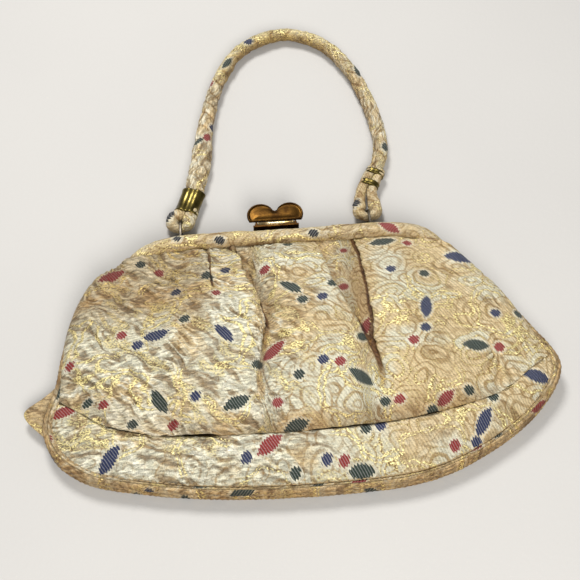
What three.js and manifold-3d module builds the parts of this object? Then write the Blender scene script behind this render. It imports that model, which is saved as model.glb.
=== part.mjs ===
// An evening bag on a hinged, fabric-covered frame, with a rope handle. It lies on its back.
// Millimetres, +Z up, X along the frame, +Y towards the handle, origin under the back panel.
import * as THREE from 'three';
import { mergeVertices } from 'three/addons/utils/BufferGeometryUtils.js';
import Module from 'manifold-3d';

const wasm = await Module();
wasm.setup();

// ---- Driving dimensions ----
const GAP = 0.3;                 // between pieces that touch
const CLOTH = 1.2;               // brocade with its interlining
const LINING = 0.7;

// The bag's edge from the left hinge round the bottom to the right hinge: x, y, and height of the
// front piping above the floor.
const EDGE = [
  [-101.5, -7, 13.5], [-109.5, -19, 12.5], [-114, -36, 11.5], [-117.5, -56, 10], [-122.5, -73, 8.5],
  [-117.5, -88, 7.5], [-103, -99.5, 7], [-78, -106.5, 7], [-42, -112, 7], [12, -114, 7],
  [58, -110.5, 7], [91, -97, 7], [116.5, -78, 8], [128.3, -60, 9.5], [119, -38, 11], [98, -7, 13.5],
];
const BAND_ENDS = [[-119, -61], [127, -54]];   // where the band's seam meets the edge
const CORNERS = [[-110, -95], [112, -82]];     // where the side gussets meet the base gusset
// Seam between gathered panel and band, between its two ends on the edge.
const SEAM = [
  [-107, -70.5, 15], [-93, -81, 19], [-72, -88, 22], [-42, -91, 24], [0, -92, 24.5],
  [42, -90, 24], [70, -85, 22.5], [98, -75, 18], [115, -62, 14],
];
// Top edge of the gathered panel, where it leaves the front sleeve.
const PANEL_TOP = [
  [-79, 9.5, 15], [-72, 14, 16], [-58, 17.2, 16.6], [0, 17.4, 16.8], [58, 17.2, 16.6],
  [72, 13.5, 16], [79, 8.5, 15],
];
const PANEL_BULGE = 12;          // how far the gathered panel stands above its four edges
const BAND_BULGE = 3.5;
const UPPER_SHARE = 0.13;        // the panel above this share of its height turns with the frame
const LOWER_SHARE = 0.31;        // and below this share it stays with the bag
const EDGE_INSET = 2.5;          // from the piping's centre line to the cloth
const SEAM_GAP = 0.8;            // between the panel's and the band's edges, each from the seam
const PIPING_RADIUS = 2;
const BACK_PIPING_Z = 2.2;

// Gussets: an upright strip just inside the two pipings, and a flat fold at the left side.
const GUSSET_INSET = 3.2;
const GUSSET_LOW = 1.8;
const GUSSET_DROP = 2.2;         // from the front piping's centre down to the strip's top
const GUSSET_SEAM = 0.001;       // half the gap between two strips, as a share of the edge
const FOLD = {
  tip: [-134, -64], root: [[-115.5, -52], [-119, -76]], low: 4.7, thick: 1.6, blunt: 1.5,
};

const POCKET = { x: -5, y: -48, wide: 76, high: 44, round: 8 };

// Frame: one U of bar for each half, hinged at the arms' ends.
const FRAME_PATH = [
  [-86.5, -7], [-85.5, 2], [-80, 13], [-69, 20.5], [-54, 23.2], [0, 23.2], [55, 23.2],
  [69, 20], [78.5, 11.5], [83.5, 2], [85, -7],
];
const BACK_BAR_Z = 6.1;
const FRONT_BAR_Z = 15.6;
const HINGE_Z = (BACK_BAR_Z + FRONT_BAR_Z) / 2;
const HINGE_Y = -9;
const BAR_WIDE = 4;
const BAR_THICK = 2.8;
const SLEEVE_RADIUS = 4.5;
const SLEEVE_BORE = 3.3;
const SLEEVE_SHARE = [0.055, 0.945];   // stretch of the bar that the sleeve covers
const FITTINGS_Y = 28.7;         // feet of the clasp and handle fittings, just clear of the sleeves
const EYE_RADIUS = 3;
const EYE_THICK = 1.2;
const EYE_GAP = 0.4;
const EYE_WEB = { wide: 4, y: HINGE_Y + 2.6 };   // from the bar's end to the eye
const PIN_RADIUS = 1;
const PIN_HOLE = 1.25;
const PIN_HEAD = { radius: 2, thick: 0.7, play: 0.25 };

// Handle: links at both ends turn about one line along X, and so does the handle in the links.
const LINK_X = [-56, 46];
const STAPLE_Y = 31.7;
const STAPLE_Z = 6.2;
const LOOP_Y = 40.6;
const HANDLE_RADIUS = 4.3;
const HANDLE_Z = HANDLE_RADIUS + GAP;
const CORE_RADIUS = 2.4;
const STRAND_RADIUS = 2.5;
const LOOP_RADIUS = 4.6;
const WIRE_RADIUS = 0.75;
const STAPLE_WIRE = 0.85;
const STAPLE_LEG = 3.4;          // from the staple's middle to each leg
const STAPLE_FOOT = [2.4, 0.8, 3.6];
const FERRULES = [
  { bottom: [-53.2, 50], top: [-48, 64.5] },
  { bottom: [47.4, 59], top: [53, 70] },
];
const HANDLE_PATH = [
  [-43.8, 84], [-39.6, 113], [-31.5, 144], [-16, 170], [9.5, 181], [31.5, 172],
  [46, 151.5], [54, 128], [58.3, 102], [57.8, 84],
];
const FERRULE_WALL = 0.5;
const FERRULE_WINDOW = 0.42;     // the window's share of the ferrule's length
const TUBE_WALL = HANDLE_RADIUS - CORE_RADIUS - 0.6;

// Clasp, centred between the handle's ends.
const CLASP_X = (LINK_X[0] + LINK_X[1]) / 2;
const PIVOT_Y = 31.7;
const PIVOT_Z = 16;
const TAB_WIDE = 30;
const TAB_HIGH = 13.5;
const TAB_THICK = 1.4;
const TAB_BEVEL = 0.3;
const LOBE_RADIUS = 7.2;
const NOTCH_TURN = 155;          // degrees round a lobe, from its outer side to the notch
const BARREL_RADIUS = 1.7;
const CLASP_BARREL = 19;         // length of the tab's barrel between the bracket's ears
const CLASP_PIN_RADIUS = 0.8;
const CLASP_PIN_PLAY = { bracket: 0.05, tab: 0.08 };
const BRACKET_PLATE = { wide: 24, thick: 0.9, high: 6.4, drop: 0.4 };
const EAR = { thick: 1, play: 0.3, high: 3.4 };
const HOOK_LOW = PIVOT_Z - 11.4;
const HOOK = { wide: 4, thick: 1, out: 0.6, nose: 2.6, noseOut: -0.3, noseThick: 1.1 };
const CATCH = { wide: 9, thick: 0.8, high: 5, up: 1.2 };
const KEEPER = { wide: 6, deep: 1.9, thick: 1, out: 1.2, up: 2 };
const SPRING = { wire: 0.22, turns: 3.5, from: 3.5, long: 2.2, play: 0.3 };
const SPRING_SLOT = { wide: 3.6, deep: 7.4, high: 6, x: 4.9, out: -1.6 };

// ---- Materials ----
const paint = (color, roughness, metalness = 0) =>
  new THREE.MeshStandardMaterial({ color, roughness, metalness });
const brocade = () => paint(0xcfc09a, 0.6);
const satin = () => paint(0xd8c9a8, 0.45);
const brass = () => paint(0x8a6a2c, 0.35, 1);
const cotton = () => paint(0xe6e0d0, 0.9);
const steel = () => paint(0x77736a, 0.35, 1);

const bag = new THREE.Group();
function add(name, geometry, material) {
  const mesh = new THREE.Mesh(geometry, material);
  mesh.name = name;
  bag.add(mesh);
  return mesh;
}

// ---- Shape helpers ----
const curve = (points, z = 0) =>
  new THREE.CatmullRomCurve3(points.map(([x, y, up]) => new THREE.Vector3(x, y, up ?? z)));
const mix = (a, b, t) => a + (b - a) * t;

// A stretch of a curve, measured along its length.
class Stretch extends THREE.Curve {
  constructor(whole, from, to) {
    super();
    Object.assign(this, { whole, from, to });
  }
  getPoint(t, target = new THREE.Vector3()) {
    return this.whole.getPointAt(mix(this.from, this.to, t), target);
  }
}

const edge = curve(EDGE);

// The share of the edge's length at which it passes nearest a point.
function shareNear([x, y]) {
  const shares = Array.from({ length: 801 }, (_, i) => i / 800);
  const distance = (share) => {
    const point = edge.getPointAt(share);
    return Math.hypot(point.x - x, point.y - y);
  };
  return shares.reduce((best, share) => (distance(share) < distance(best) ? share : best));
}
const [BAND_LEFT, BAND_RIGHT] = BAND_ENDS.map(shareNear);

// A point on the bag's edge, moved inwards in plan.
function edgePoint(share, inset = 0) {
  const point = edge.getPointAt(share);
  const along = edge.getTangentAt(share);
  const inwards = new THREE.Vector3(-along.y, along.x, 0).normalize();
  return point.addScaledVector(inwards, inset);
}

// A surface between four edges: top and bottom run left to right, the sides run top to bottom.
function patch({ top, bottom, left, right, bulge }) {
  const corner = [top(0), top(1), bottom(0), bottom(1)];
  return (u, v) => {
    const point = new THREE.Vector3();
    point.addScaledVector(top(u), 1 - v).addScaledVector(bottom(u), v);
    point.addScaledVector(left(v), 1 - u).addScaledVector(right(v), u);
    point.addScaledVector(corner[0], -(1 - u) * (1 - v)).addScaledVector(corner[1], -u * (1 - v));
    point.addScaledVector(corner[2], -(1 - u) * v).addScaledVector(corner[3], -u * v);
    point.z += bulge(u, v);
    return point;
  };
}

// A closed sheet along a surface. Its faces lie `upper` and `lower` from the surface, along its
// normal or along a given direction.
function sheet(surface, upper, lower, across, along, direction) {
  const box = new THREE.BoxGeometry(1, 1, 1, across, along, 1);
  const place = box.attributes.position;
  const step = 0.002;
  for (let i = 0; i < place.count; i++) {
    const u = place.getX(i) + 0.5;
    const v = 0.5 - place.getY(i);
    const overU = surface(Math.min(1, u + step), v).sub(surface(Math.max(0, u - step), v));
    const upV = surface(u, Math.max(0, v - step)).sub(surface(u, Math.min(1, v + step)));
    const up = direction ?? overU.cross(upV).normalize();
    const point = surface(u, v).addScaledVector(up, place.getZ(i) > 0 ? upper : lower);
    place.setXYZ(i, point.x, point.y, point.z);
  }
  return box;
}

const part = (surface, [u0, u1], [v0, v1]) => (u, v) => surface(mix(u0, u1, u), mix(v0, v1, v));

const circle = (radius) => new THREE.Shape().absarc(0, 0, radius, 0, 2 * Math.PI);
const sweep = (shape, path, steps, sides = 8) => new THREE.ExtrudeGeometry(
  shape, { extrudePath: path, steps, curveSegments: sides / 2, bevelEnabled: false });

function rectangle(wide, high) {
  const shape = new THREE.Shape();
  shape.moveTo(-wide / 2, -high / 2).lineTo(wide / 2, -high / 2);
  shape.lineTo(wide / 2, high / 2).lineTo(-wide / 2, high / 2).closePath();
  return shape;
}

const block = (size, centre) =>
  new THREE.BoxGeometry(...size).translate(...centre);
const rodAlongX = (radius, from, to, y, z, sides = 20) =>
  new THREE.CylinderGeometry(radius, radius, to - from, sides)
    .rotateZ(Math.PI / 2).translate((from + to) / 2, y, z);

function toSolid(geometry) {
  const bare = geometry.clone();
  bare.deleteAttribute('normal');
  bare.deleteAttribute('uv');
  const merged = mergeVertices(bare, 1e-4);
  return new wasm.Manifold(new wasm.Mesh({
    numProp: 3,
    vertProperties: new Float32Array(merged.attributes.position.array),
    triVerts: new Uint32Array(merged.index.array),
  }));
}

function toGeometry(solid) {
  const mesh = solid.getMesh();
  const geometry = new THREE.BufferGeometry();
  geometry.setAttribute('position', new THREE.BufferAttribute(mesh.vertProperties, 3));
  geometry.setIndex(new THREE.BufferAttribute(mesh.triVerts, 1));
  return geometry;
}

const join = (...pieces) => toGeometry(pieces.map(toSolid).reduce((a, b) => a.add(b)));
const cut = (piece, ...tools) =>
  toGeometry(tools.map(toSolid).reduce((a, b) => a.subtract(b), toSolid(piece)));

// ---- Front panel and band ----
const seamEnds = [edgePoint(BAND_LEFT, EDGE_INSET), edgePoint(BAND_RIGHT, EDGE_INSET)];
const seam = new THREE.CatmullRomCurve3([
  seamEnds[0], ...SEAM.map((p) => new THREE.Vector3(...p)), seamEnds[1],
]);
function seamPoint(share, offset) {
  const along = seam.getTangentAt(share);
  return seam.getPointAt(share).addScaledVector(
    new THREE.Vector3(-along.y, along.x, 0).normalize(), offset);
}
const panelTop = curve(PANEL_TOP);
const crown = (t, power) => Math.pow(Math.max(0, 4 * t * (1 - t)), power);

const sideOf = (from, to) => (v) => edgePoint(mix(from, to, v), EDGE_INSET);
const leftOfPanel = sideOf(0, BAND_LEFT);
const rightOfPanel = sideOf(1, BAND_RIGHT);
// The panel's sides start at the frame's corners and soon reach the bag's edge.
const fromCorner = (side, end) => (v) =>
  side(v).lerp(panelTop.getPointAt(end), Math.pow(Math.max(0, 1 - v), 6));

const panel = patch({
  top: (u) => panelTop.getPointAt(u),
  bottom: (u) => seamPoint(u, SEAM_GAP),
  left: fromCorner(leftOfPanel, 0),
  right: fromCorner(rightOfPanel, 1),
  bulge: (u, v) => PANEL_BULGE * crown(u, 0.6) * crown(v, 0.75),
});

const bandEnd = 0.012;           // the band's ends, as a share of the edge, so they aren't points
const band = patch({
  top: (u) => seamPoint(u, -SEAM_GAP),
  bottom: (u) => edgePoint(mix(BAND_LEFT + bandEnd, BAND_RIGHT - bandEnd, u), EDGE_INSET),
  left: (v) => seamPoint(0, -SEAM_GAP).lerp(edgePoint(BAND_LEFT + bandEnd, EDGE_INSET), v),
  right: (v) => seamPoint(1, -SEAM_GAP).lerp(edgePoint(BAND_RIGHT - bandEnd, EDGE_INSET), v),
  bulge: (u, v) => BAND_BULGE * crown(u, 0.5) * crown(v, 1),
});

add('front_panel_upper', sheet(part(panel, [0.11, 0.89], [0, UPPER_SHARE]), 0, -CLOTH, 18, 2),
  brocade());
add('front_panel_lower', sheet(part(panel, [0, 1], [LOWER_SHARE, 1]), 0, -CLOTH, 22, 8),
  brocade());
add('front_band', sheet(part(band, [0.01, 0.99], [0, 1]), 0, -CLOTH, 24, 3), brocade());

const liningDepth = CLOTH + GAP * 3;
const liningSurface = (u, v) => (v < 1 ? panel(u, v) : band(u, v - 1));
add('lining_front', sheet(part(liningSurface, [0.06, 0.94], [LOWER_SHARE + 0.02, 1.75]),
  -liningDepth, -liningDepth - LINING, 14, 8), satin());

// ---- Piping ----
add('front_piping', sweep(circle(PIPING_RADIUS), edge, 46, 6), brocade());
const backEdge = curve(EDGE.map(([x, y]) => [x, y, BACK_PIPING_Z]));
add('back_piping', sweep(circle(PIPING_RADIUS), backEdge, 46, 6), brocade());

// ---- Back panel, band and linings, flat on the floor ----
// The same outlines as the front, laid flat at a height.
const flatten = (surface, z) => (u, v) => surface(u, v).setZ(z);
const upwards = new THREE.Vector3(0, 0, 1);
add('back_panel', sheet(flatten(panel, 0), CLOTH, 0, 20, 6, upwards), brocade());
add('back_band', sheet(part(flatten(band, 0), [0.01, 0.99], [0, 1]), CLOTH, 0, 24, 1, upwards),
  brocade());
const liningZ = CLOTH + GAP;
add('lining_back', sheet(part(flatten(liningSurface, liningZ), [0.06, 0.94], [0.06, 1.75]),
  LINING, 0, 14, 6, upwards), satin());

function innerPocket() {
  const { wide, high, round } = POCKET;
  const shape = new THREE.Shape();
  shape.moveTo(-wide / 2, high / 2).lineTo(-wide / 2, -high / 2 + round);
  shape.absarc(-wide / 2 + round, -high / 2 + round, round, Math.PI, 1.5 * Math.PI);
  shape.absarc(wide / 2 - round, -high / 2 + round, round, -0.5 * Math.PI, 0);
  shape.lineTo(wide / 2, high / 2).closePath();
  return new THREE.ExtrudeGeometry(shape, { depth: LINING, bevelEnabled: false, curveSegments: 5 })
    .translate(POCKET.x, POCKET.y, liningZ + LINING + GAP);
}
add('inner_pocket', innerPocket(), satin());

// ---- Gussets ----
function gusset(from, to, steps) {
  const outer = (u, v) => {
    const point = edgePoint(mix(from, to, u), GUSSET_INSET);
    point.z = mix(GUSSET_LOW, point.z - GUSSET_DROP, v);
    return point;
  };
  return sheet(outer, CLOTH, 0, steps, 1);
}
const [cornerLeft, cornerRight] = CORNERS.map(shareNear);
function foldedGusset() {
  const [[x0, y0], [x1, y1]] = FOLD.root;
  const [tipX, tipY] = FOLD.tip;
  const shape = new THREE.Shape();
  shape.moveTo(x0, y0).lineTo(tipX, tipY + FOLD.blunt);
  shape.lineTo(tipX, tipY - FOLD.blunt).lineTo(x1, y1).closePath();
  const fold = new THREE.ExtrudeGeometry(shape, { depth: FOLD.thick, bevelEnabled: false })
    .translate(0, 0, FOLD.low);
  return join(gusset(0, cornerLeft - GUSSET_SEAM, 12), fold);
}
add('gusset_left', foldedGusset(), brocade());
add('gusset_base', gusset(cornerLeft + GUSSET_SEAM, cornerRight - GUSSET_SEAM, 20), brocade());
add('gusset_right', gusset(cornerRight + GUSSET_SEAM, 1, 10), brocade());

// ---- Frame ----
function rail(z, eyeInset) {
  const bar = sweep(rectangle(BAR_THICK, BAR_WIDE), curve(FRAME_PATH, z), 22);
  const pieces = [bar];
  for (const [x, side] of [[FRAME_PATH[0][0], -1], [FRAME_PATH.at(-1)[0], 1]]) {
    const eye = x + side * eyeInset;
    const web = [EYE_THICK, EYE_WEB.wide, Math.abs(z - HINGE_Z)];
    pieces.push(
      rodAlongX(EYE_RADIUS, eye - EYE_THICK / 2, eye + EYE_THICK / 2, HINGE_Y, HINGE_Z),
      block(web, [eye, EYE_WEB.y, (z + HINGE_Z) / 2]),
    );
  }
  const holes = [FRAME_PATH[0], FRAME_PATH.at(-1)]
    .map(([x]) => rodAlongX(PIN_HOLE, x - 4, x + 4, HINGE_Y, HINGE_Z));
  return cut(join(...pieces), ...holes);
}
const eyeStep = (EYE_THICK + EYE_GAP) / 2;
add('back_rail', rail(BACK_BAR_Z, -eyeStep), brass());
add('front_rail', rail(FRONT_BAR_Z, eyeStep), brass());

function sleeve(z) {
  const ring = circle(SLEEVE_RADIUS);
  ring.holes.push(circle(SLEEVE_BORE));
  return sweep(ring, new Stretch(curve(FRAME_PATH, z), ...SLEEVE_SHARE), 20, 8);
}
add('back_sleeve', sleeve(BACK_BAR_Z), brocade());
add('front_sleeve', sleeve(FRONT_BAR_Z), brocade());

function hingePin(x) {
  const reach = eyeStep + EYE_THICK / 2 + PIN_HEAD.play;
  const end = reach + PIN_HEAD.thick;
  return join(
    rodAlongX(PIN_RADIUS, x - end, x + end, HINGE_Y, HINGE_Z),
    rodAlongX(PIN_HEAD.radius, x - end, x - reach, HINGE_Y, HINGE_Z),
    rodAlongX(PIN_HEAD.radius, x + reach, x + end, HINGE_Y, HINGE_Z),
  );
}
add('hinge_pin_left', hingePin(FRAME_PATH[0][0]), steel());
add('hinge_pin_right', hingePin(FRAME_PATH.at(-1)[0]), steel());

// ---- Handle staples and links ----
function staple(x) {
  const leg = STAPLE_LEG;
  const footY = FITTINGS_Y + STAPLE_FOOT[1] / 2;
  const feet = [-leg, leg].map((dx) => block(STAPLE_FOOT, [x + dx, footY, STAPLE_Z]));
  const bow = new THREE.CatmullRomCurve3([
    [-leg, footY], [-leg, STAPLE_Y - 1.2], [1 - leg, STAPLE_Y], [0, STAPLE_Y],
    [leg - 1, STAPLE_Y], [leg, STAPLE_Y - 1.2], [leg, footY],
  ].map(([dx, y]) => new THREE.Vector3(x + dx, y, STAPLE_Z)), false, 'centripetal');
  return join(sweep(circle(STAPLE_WIRE), bow, 14, 8), ...feet);
}

// A pear-shaped wire ring round the staple's bow and the handle's end loop.
function link(x) {
  const slope = Math.atan2(HANDLE_Z - STAPLE_Z, LOOP_Y - STAPLE_Y);
  const ends = [
    { y: STAPLE_Y, z: STAPLE_Z, radius: STAPLE_WIRE + 0.4 + WIRE_RADIUS, facing: slope + Math.PI },
    { y: LOOP_Y, z: HANDLE_Z, radius: STRAND_RADIUS + 0.35 + WIRE_RADIUS, facing: slope },
  ];
  const points = ends.flatMap(({ y, z, radius, facing }) =>
    [-80, -40, 0, 40, 80].map((degrees) => {
      const turn = facing + THREE.MathUtils.degToRad(degrees);
      return new THREE.Vector3(x, y + radius * Math.cos(turn), z + radius * Math.sin(turn));
    }));
  const ring = new THREE.CatmullRomCurve3(points, true, 'centripetal');
  return new THREE.TubeGeometry(ring, 22, WIRE_RADIUS, 6, true);
}

LINK_X.forEach((x, i) => {
  const side = ['left', 'right'][i];
  add(`handle_staple_${side}`, staple(x), steel());
  add(`link_${side}`, link(x), steel());
});

// ---- Handle ----
// The doubled end of the handle: down through the ferrule, round the link and up again.
function endLoop({ bottom, top }, x) {
  const end = new THREE.Vector3(...bottom, HANDLE_Z);
  const start = new THREE.Vector3(...top, HANDLE_Z);
  const along = start.clone().sub(end).normalize();
  start.addScaledVector(along, -0.6);
  const aside = new THREE.Vector3(along.y, -along.x, 0);
  const strand = STRAND_RADIUS + 0.25;
  const spread = (point, offset) => point.clone().addScaledVector(aside, offset);
  const arc = [20, 0, -30, -60, -90, -120, -150, -180, -200].map((degrees) => {
    const turn = THREE.MathUtils.degToRad(degrees);
    return new THREE.Vector3(
      x + LOOP_RADIUS * Math.cos(turn), LOOP_Y + LOOP_RADIUS * (1 + Math.sin(turn)), HANDLE_Z);
  });
  return new THREE.CatmullRomCurve3([
    spread(start, strand), spread(end, strand), ...arc,
    spread(end, -strand), spread(start, -strand),
  ], false, 'centripetal');
}

// A sheet-metal clip round both strands, with a window between its two pairs of prongs.
function ferrule({ bottom, top }, windowUp) {
  const high = Math.hypot(top[0] - bottom[0], top[1] - bottom[1]) - 0.6;
  const half = 2 * STRAND_RADIUS + 0.5 + GAP;
  const oval = (wide, thick) => {
    const shape = new THREE.Shape();
    shape.absarc(-wide + thick, 0, thick, 0.5 * Math.PI, 1.5 * Math.PI);
    shape.absarc(wide - thick, 0, thick, -0.5 * Math.PI, 0.5 * Math.PI);
    return shape.closePath();
  };
  const bore = STRAND_RADIUS + GAP;
  const wall = oval(half + FERRULE_WALL, bore + FERRULE_WALL);
  wall.holes.push(oval(half, bore));
  const tube = new THREE.ExtrudeGeometry(
    wall, { depth: high, steps: 1, curveSegments: 5, bevelEnabled: false })
    .rotateX(-Math.PI / 2).translate(0, -high / 2, 0);
  const windowZ = (windowUp ? 1 : -1) * (bore + FERRULE_WALL);
  const window = block([2 * half, high * FERRULE_WINDOW, 4], [0, 0, windowZ]);
  return cut(tube, window);
}

FERRULES.forEach((clip, i) => {
  const side = ['left', 'right'][i];
  const loop = sweep(circle(STRAND_RADIUS), endLoop(clip, LINK_X[i]), 26, 8);
  add(`handle_loop_${side}`, loop, brocade());
  const mesh = add(`ferrule_${side}`, ferrule(clip, side === 'right'), brass());
  const [x0, y0] = clip.bottom;
  const [x1, y1] = clip.top;
  mesh.position.set((x0 + x1) / 2, (y0 + y1) / 2, HANDLE_Z);
  mesh.rotation.z = Math.atan2(y1 - y0, x1 - x0) - Math.PI / 2;
});

// The stuffed tube runs from just above one ferrule to just above the other.
function beyond({ bottom, top }, far) {
  const length = Math.hypot(top[0] - bottom[0], top[1] - bottom[1]);
  return [0, 1].map((axis) => top[axis] + (top[axis] - bottom[axis]) * far / length);
}
const tubePath = curve([
  beyond(FERRULES[0], 1), ...HANDLE_PATH, beyond(FERRULES[1], 1),
], HANDLE_Z);
const tubeShape = circle(HANDLE_RADIUS);
tubeShape.holes.push(circle(HANDLE_RADIUS - TUBE_WALL));
add('handle_tube', sweep(tubeShape, tubePath, 36, 8), brocade());
add('handle_core', sweep(circle(CORE_RADIUS), new Stretch(tubePath, 0.01, 0.99), 36, 6), cotton());

// ---- Clasp ----
function claspBracket() {
  const { wide, thick, high, drop } = BRACKET_PLATE;
  const ear = (side) => {
    const x = CLASP_X + side * ((CLASP_BARREL + EAR.thick) / 2 + EAR.play);
    const web = [EAR.thick, PIVOT_Y - FITTINGS_Y, EAR.high];
    return join(
      block(web, [x, (PIVOT_Y + FITTINGS_Y) / 2, PIVOT_Z]),
      rodAlongX(BARREL_RADIUS, x - EAR.thick / 2, x + EAR.thick / 2, PIVOT_Y, PIVOT_Z),
    );
  };
  const plate = block([wide, thick, high], [CLASP_X, FITTINGS_Y + thick / 2, PIVOT_Z - drop]);
  const hole = CLASP_PIN_RADIUS + CLASP_PIN_PLAY.bracket;
  return cut(join(plate, ear(-1), ear(1)),
    rodAlongX(hole, CLASP_X - wide / 2, CLASP_X + wide / 2, PIVOT_Y, PIVOT_Z));
}

// Two round lobes with a notch between them, seen from the front.
function tabOutline() {
  const lobe = TAB_WIDE / 2 - LOBE_RADIUS;
  const neck = (CLASP_BARREL - 1) / 2;
  const foot = BARREL_RADIUS + 0.6;
  const high = TAB_HIGH - LOBE_RADIUS;
  const start = Math.asin((foot - high) / LOBE_RADIUS);
  const notch = THREE.MathUtils.degToRad(NOTCH_TURN);
  const shape = new THREE.Shape();
  shape.moveTo(-neck, 0.6).lineTo(neck, 0.6).lineTo(neck, foot);
  shape.absarc(lobe, high, LOBE_RADIUS, start, notch);
  shape.lineTo(0, high + 1.2);
  shape.absarc(-lobe, high, LOBE_RADIUS, Math.PI - notch, Math.PI - start);
  return shape.lineTo(-neck, foot).closePath();
}

// The lobed plate on its rolled barrel, with the hook under it.
function claspTab() {
  const bevel = { bevelThickness: TAB_BEVEL, bevelSize: TAB_BEVEL, bevelSegments: 1 };
  const plate = new THREE.ExtrudeGeometry(
    tabOutline(), { depth: TAB_THICK - 2 * TAB_BEVEL, curveSegments: 9, ...bevel })
    .translate(CLASP_X, PIVOT_Y, PIVOT_Z - TAB_THICK / 2 + TAB_BEVEL);
  const half = CLASP_BARREL / 2;
  const barrel = rodAlongX(BARREL_RADIUS, CLASP_X - half, CLASP_X + half, PIVOT_Y, PIVOT_Z);
  const arm = block([HOOK.wide, HOOK.thick, PIVOT_Z - HOOK_LOW],
    [CLASP_X, PIVOT_Y + HOOK.out, (PIVOT_Z + HOOK_LOW) / 2]);
  const nose = block([HOOK.wide, HOOK.nose, HOOK.noseThick],
    [CLASP_X, PIVOT_Y + HOOK.noseOut, HOOK_LOW + HOOK.noseThick / 2]);
  const hole = rodAlongX(CLASP_PIN_RADIUS + CLASP_PIN_PLAY.tab,
    CLASP_X - half - 1, CLASP_X + half + 1, PIVOT_Y, PIVOT_Z);
  const slot = block([SPRING_SLOT.wide, SPRING_SLOT.deep, SPRING_SLOT.high],
    [CLASP_X + SPRING_SLOT.x, PIVOT_Y + SPRING_SLOT.out, PIVOT_Z]);
  return cut(join(plate, barrel, arm, nose), hole, slot);
}

function claspPin() {
  const reach = CLASP_BARREL / 2 + EAR.play + EAR.thick + 0.4;
  return rodAlongX(CLASP_PIN_RADIUS, CLASP_X - reach, CLASP_X + reach, PIVOT_Y, PIVOT_Z);
}

// A keeper bar on the back half, over the hook's nose.
function claspCatch() {
  const plate = block([CATCH.wide, CATCH.thick, CATCH.high],
    [CLASP_X, FITTINGS_Y + CATCH.thick / 2, BACK_BAR_Z + CATCH.up]);
  const keeper = block([KEEPER.wide, KEEPER.deep, KEEPER.thick],
    [CLASP_X, FITTINGS_Y + KEEPER.out, HOOK_LOW + KEEPER.up]);
  return join(plate, keeper);
}

// A torsion spring round the clasp's pin.
class Coil extends THREE.Curve {
  getPoint(t, target = new THREE.Vector3()) {
    const turn = 2 * Math.PI * SPRING.turns * t;
    const radius = CLASP_PIN_RADIUS + SPRING.play + SPRING.wire;
    return target.set(CLASP_X + SPRING.from + SPRING.long * t,
      PIVOT_Y + radius * Math.cos(turn), PIVOT_Z + radius * Math.sin(turn));
  }
}

add('clasp_bracket', claspBracket(), brass());
add('clasp_tab', claspTab(), brass());
add('clasp_pin', claspPin(), steel());
add('clasp_spring', sweep(circle(SPRING.wire), new Coil(), 42, 4), steel());
add('clasp_catch', claspCatch(), brass());

export default bag;
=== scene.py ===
import math

import bpy
import numpy as np
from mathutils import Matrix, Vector


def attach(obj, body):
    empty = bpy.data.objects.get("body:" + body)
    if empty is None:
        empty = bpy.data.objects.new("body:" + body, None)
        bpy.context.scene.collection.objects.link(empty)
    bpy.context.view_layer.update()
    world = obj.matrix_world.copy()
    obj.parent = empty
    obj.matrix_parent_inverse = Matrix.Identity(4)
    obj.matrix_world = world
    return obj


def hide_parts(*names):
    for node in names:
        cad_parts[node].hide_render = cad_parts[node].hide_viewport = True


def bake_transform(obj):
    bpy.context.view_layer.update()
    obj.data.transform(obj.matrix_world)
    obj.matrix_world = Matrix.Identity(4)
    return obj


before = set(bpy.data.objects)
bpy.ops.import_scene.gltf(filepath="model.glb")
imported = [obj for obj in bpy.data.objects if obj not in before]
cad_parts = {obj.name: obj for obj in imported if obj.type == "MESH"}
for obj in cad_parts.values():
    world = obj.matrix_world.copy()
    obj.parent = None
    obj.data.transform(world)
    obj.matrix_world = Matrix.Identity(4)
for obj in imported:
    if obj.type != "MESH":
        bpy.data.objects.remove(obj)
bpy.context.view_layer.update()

MM = 0.001

# ---- Driving dimensions ----
# The bag's edge from the left hinge round the bottom to the right hinge, at the front piping.
EDGE = [
    (-101.5, -7, 13.5), (-109.5, -19, 12.5), (-114, -36, 11.5), (-117.5, -56, 10), (-122.5, -73, 8.5),
    (-117.5, -88, 7.5), (-103, -99.5, 7), (-78, -106.5, 7), (-42, -112, 7), (12, -114, 7),
    (58, -110.5, 7), (91, -97, 7), (116.5, -78, 8), (127.8, -60, 9.5), (117, -38, 11), (96, -7, 13.5),
]
SHOULDERS = [
    [(-84, 12.5, 16.5), (-92, 6.5, 15), (-98, -0.5, 14)],
    [(84, 11, 16.5), (91, 5.5, 15), (95, -1, 14)],
]
# The panel's outer sides, where it laps over the edge, and how far it rolls down there at each height.
PANEL_LEFT = [
    (-86, 15.5, 17), (-94.5, 10.5, 16), (-102.5, 4.5, 14.5), (-108, -3.5, 13.5), (-112, -14, 13.5),
    (-115, -26, 13.5), (-116.8, -40, 12.5), (-117.8, -52, 11), (-117.5, -61, 10),
]
PANEL_RIGHT = [
    (84, 11, 17), (91, 4.8, 15.5), (99.5, -5.5, 14), (107.5, -17, 14), (115.3, -31, 13.2),
    (121.5, -44, 11.8), (125, -54, 10),
]
ROLL_DOWN = [(-62, 0), (-50, 1), (-38, 4), (-20, 5.5), (-5, 7), (16, 9)]
ROLL_WIDE = 4.5
FAN_CREASES = 13
FAN = (97, -55)          # where creases spread from, at the right end of the panel
BAND_ENDS = [(-119, -61), (127, -54)]
SEAM = [
    (-107, -70.5, 15), (-93, -81, 19), (-72, -88, 22), (-42, -91, 24), (0, -92, 24.5),
    (42, -90, 24), (70, -85, 22.5), (98, -75, 18), (115, -62, 14),
]
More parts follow.
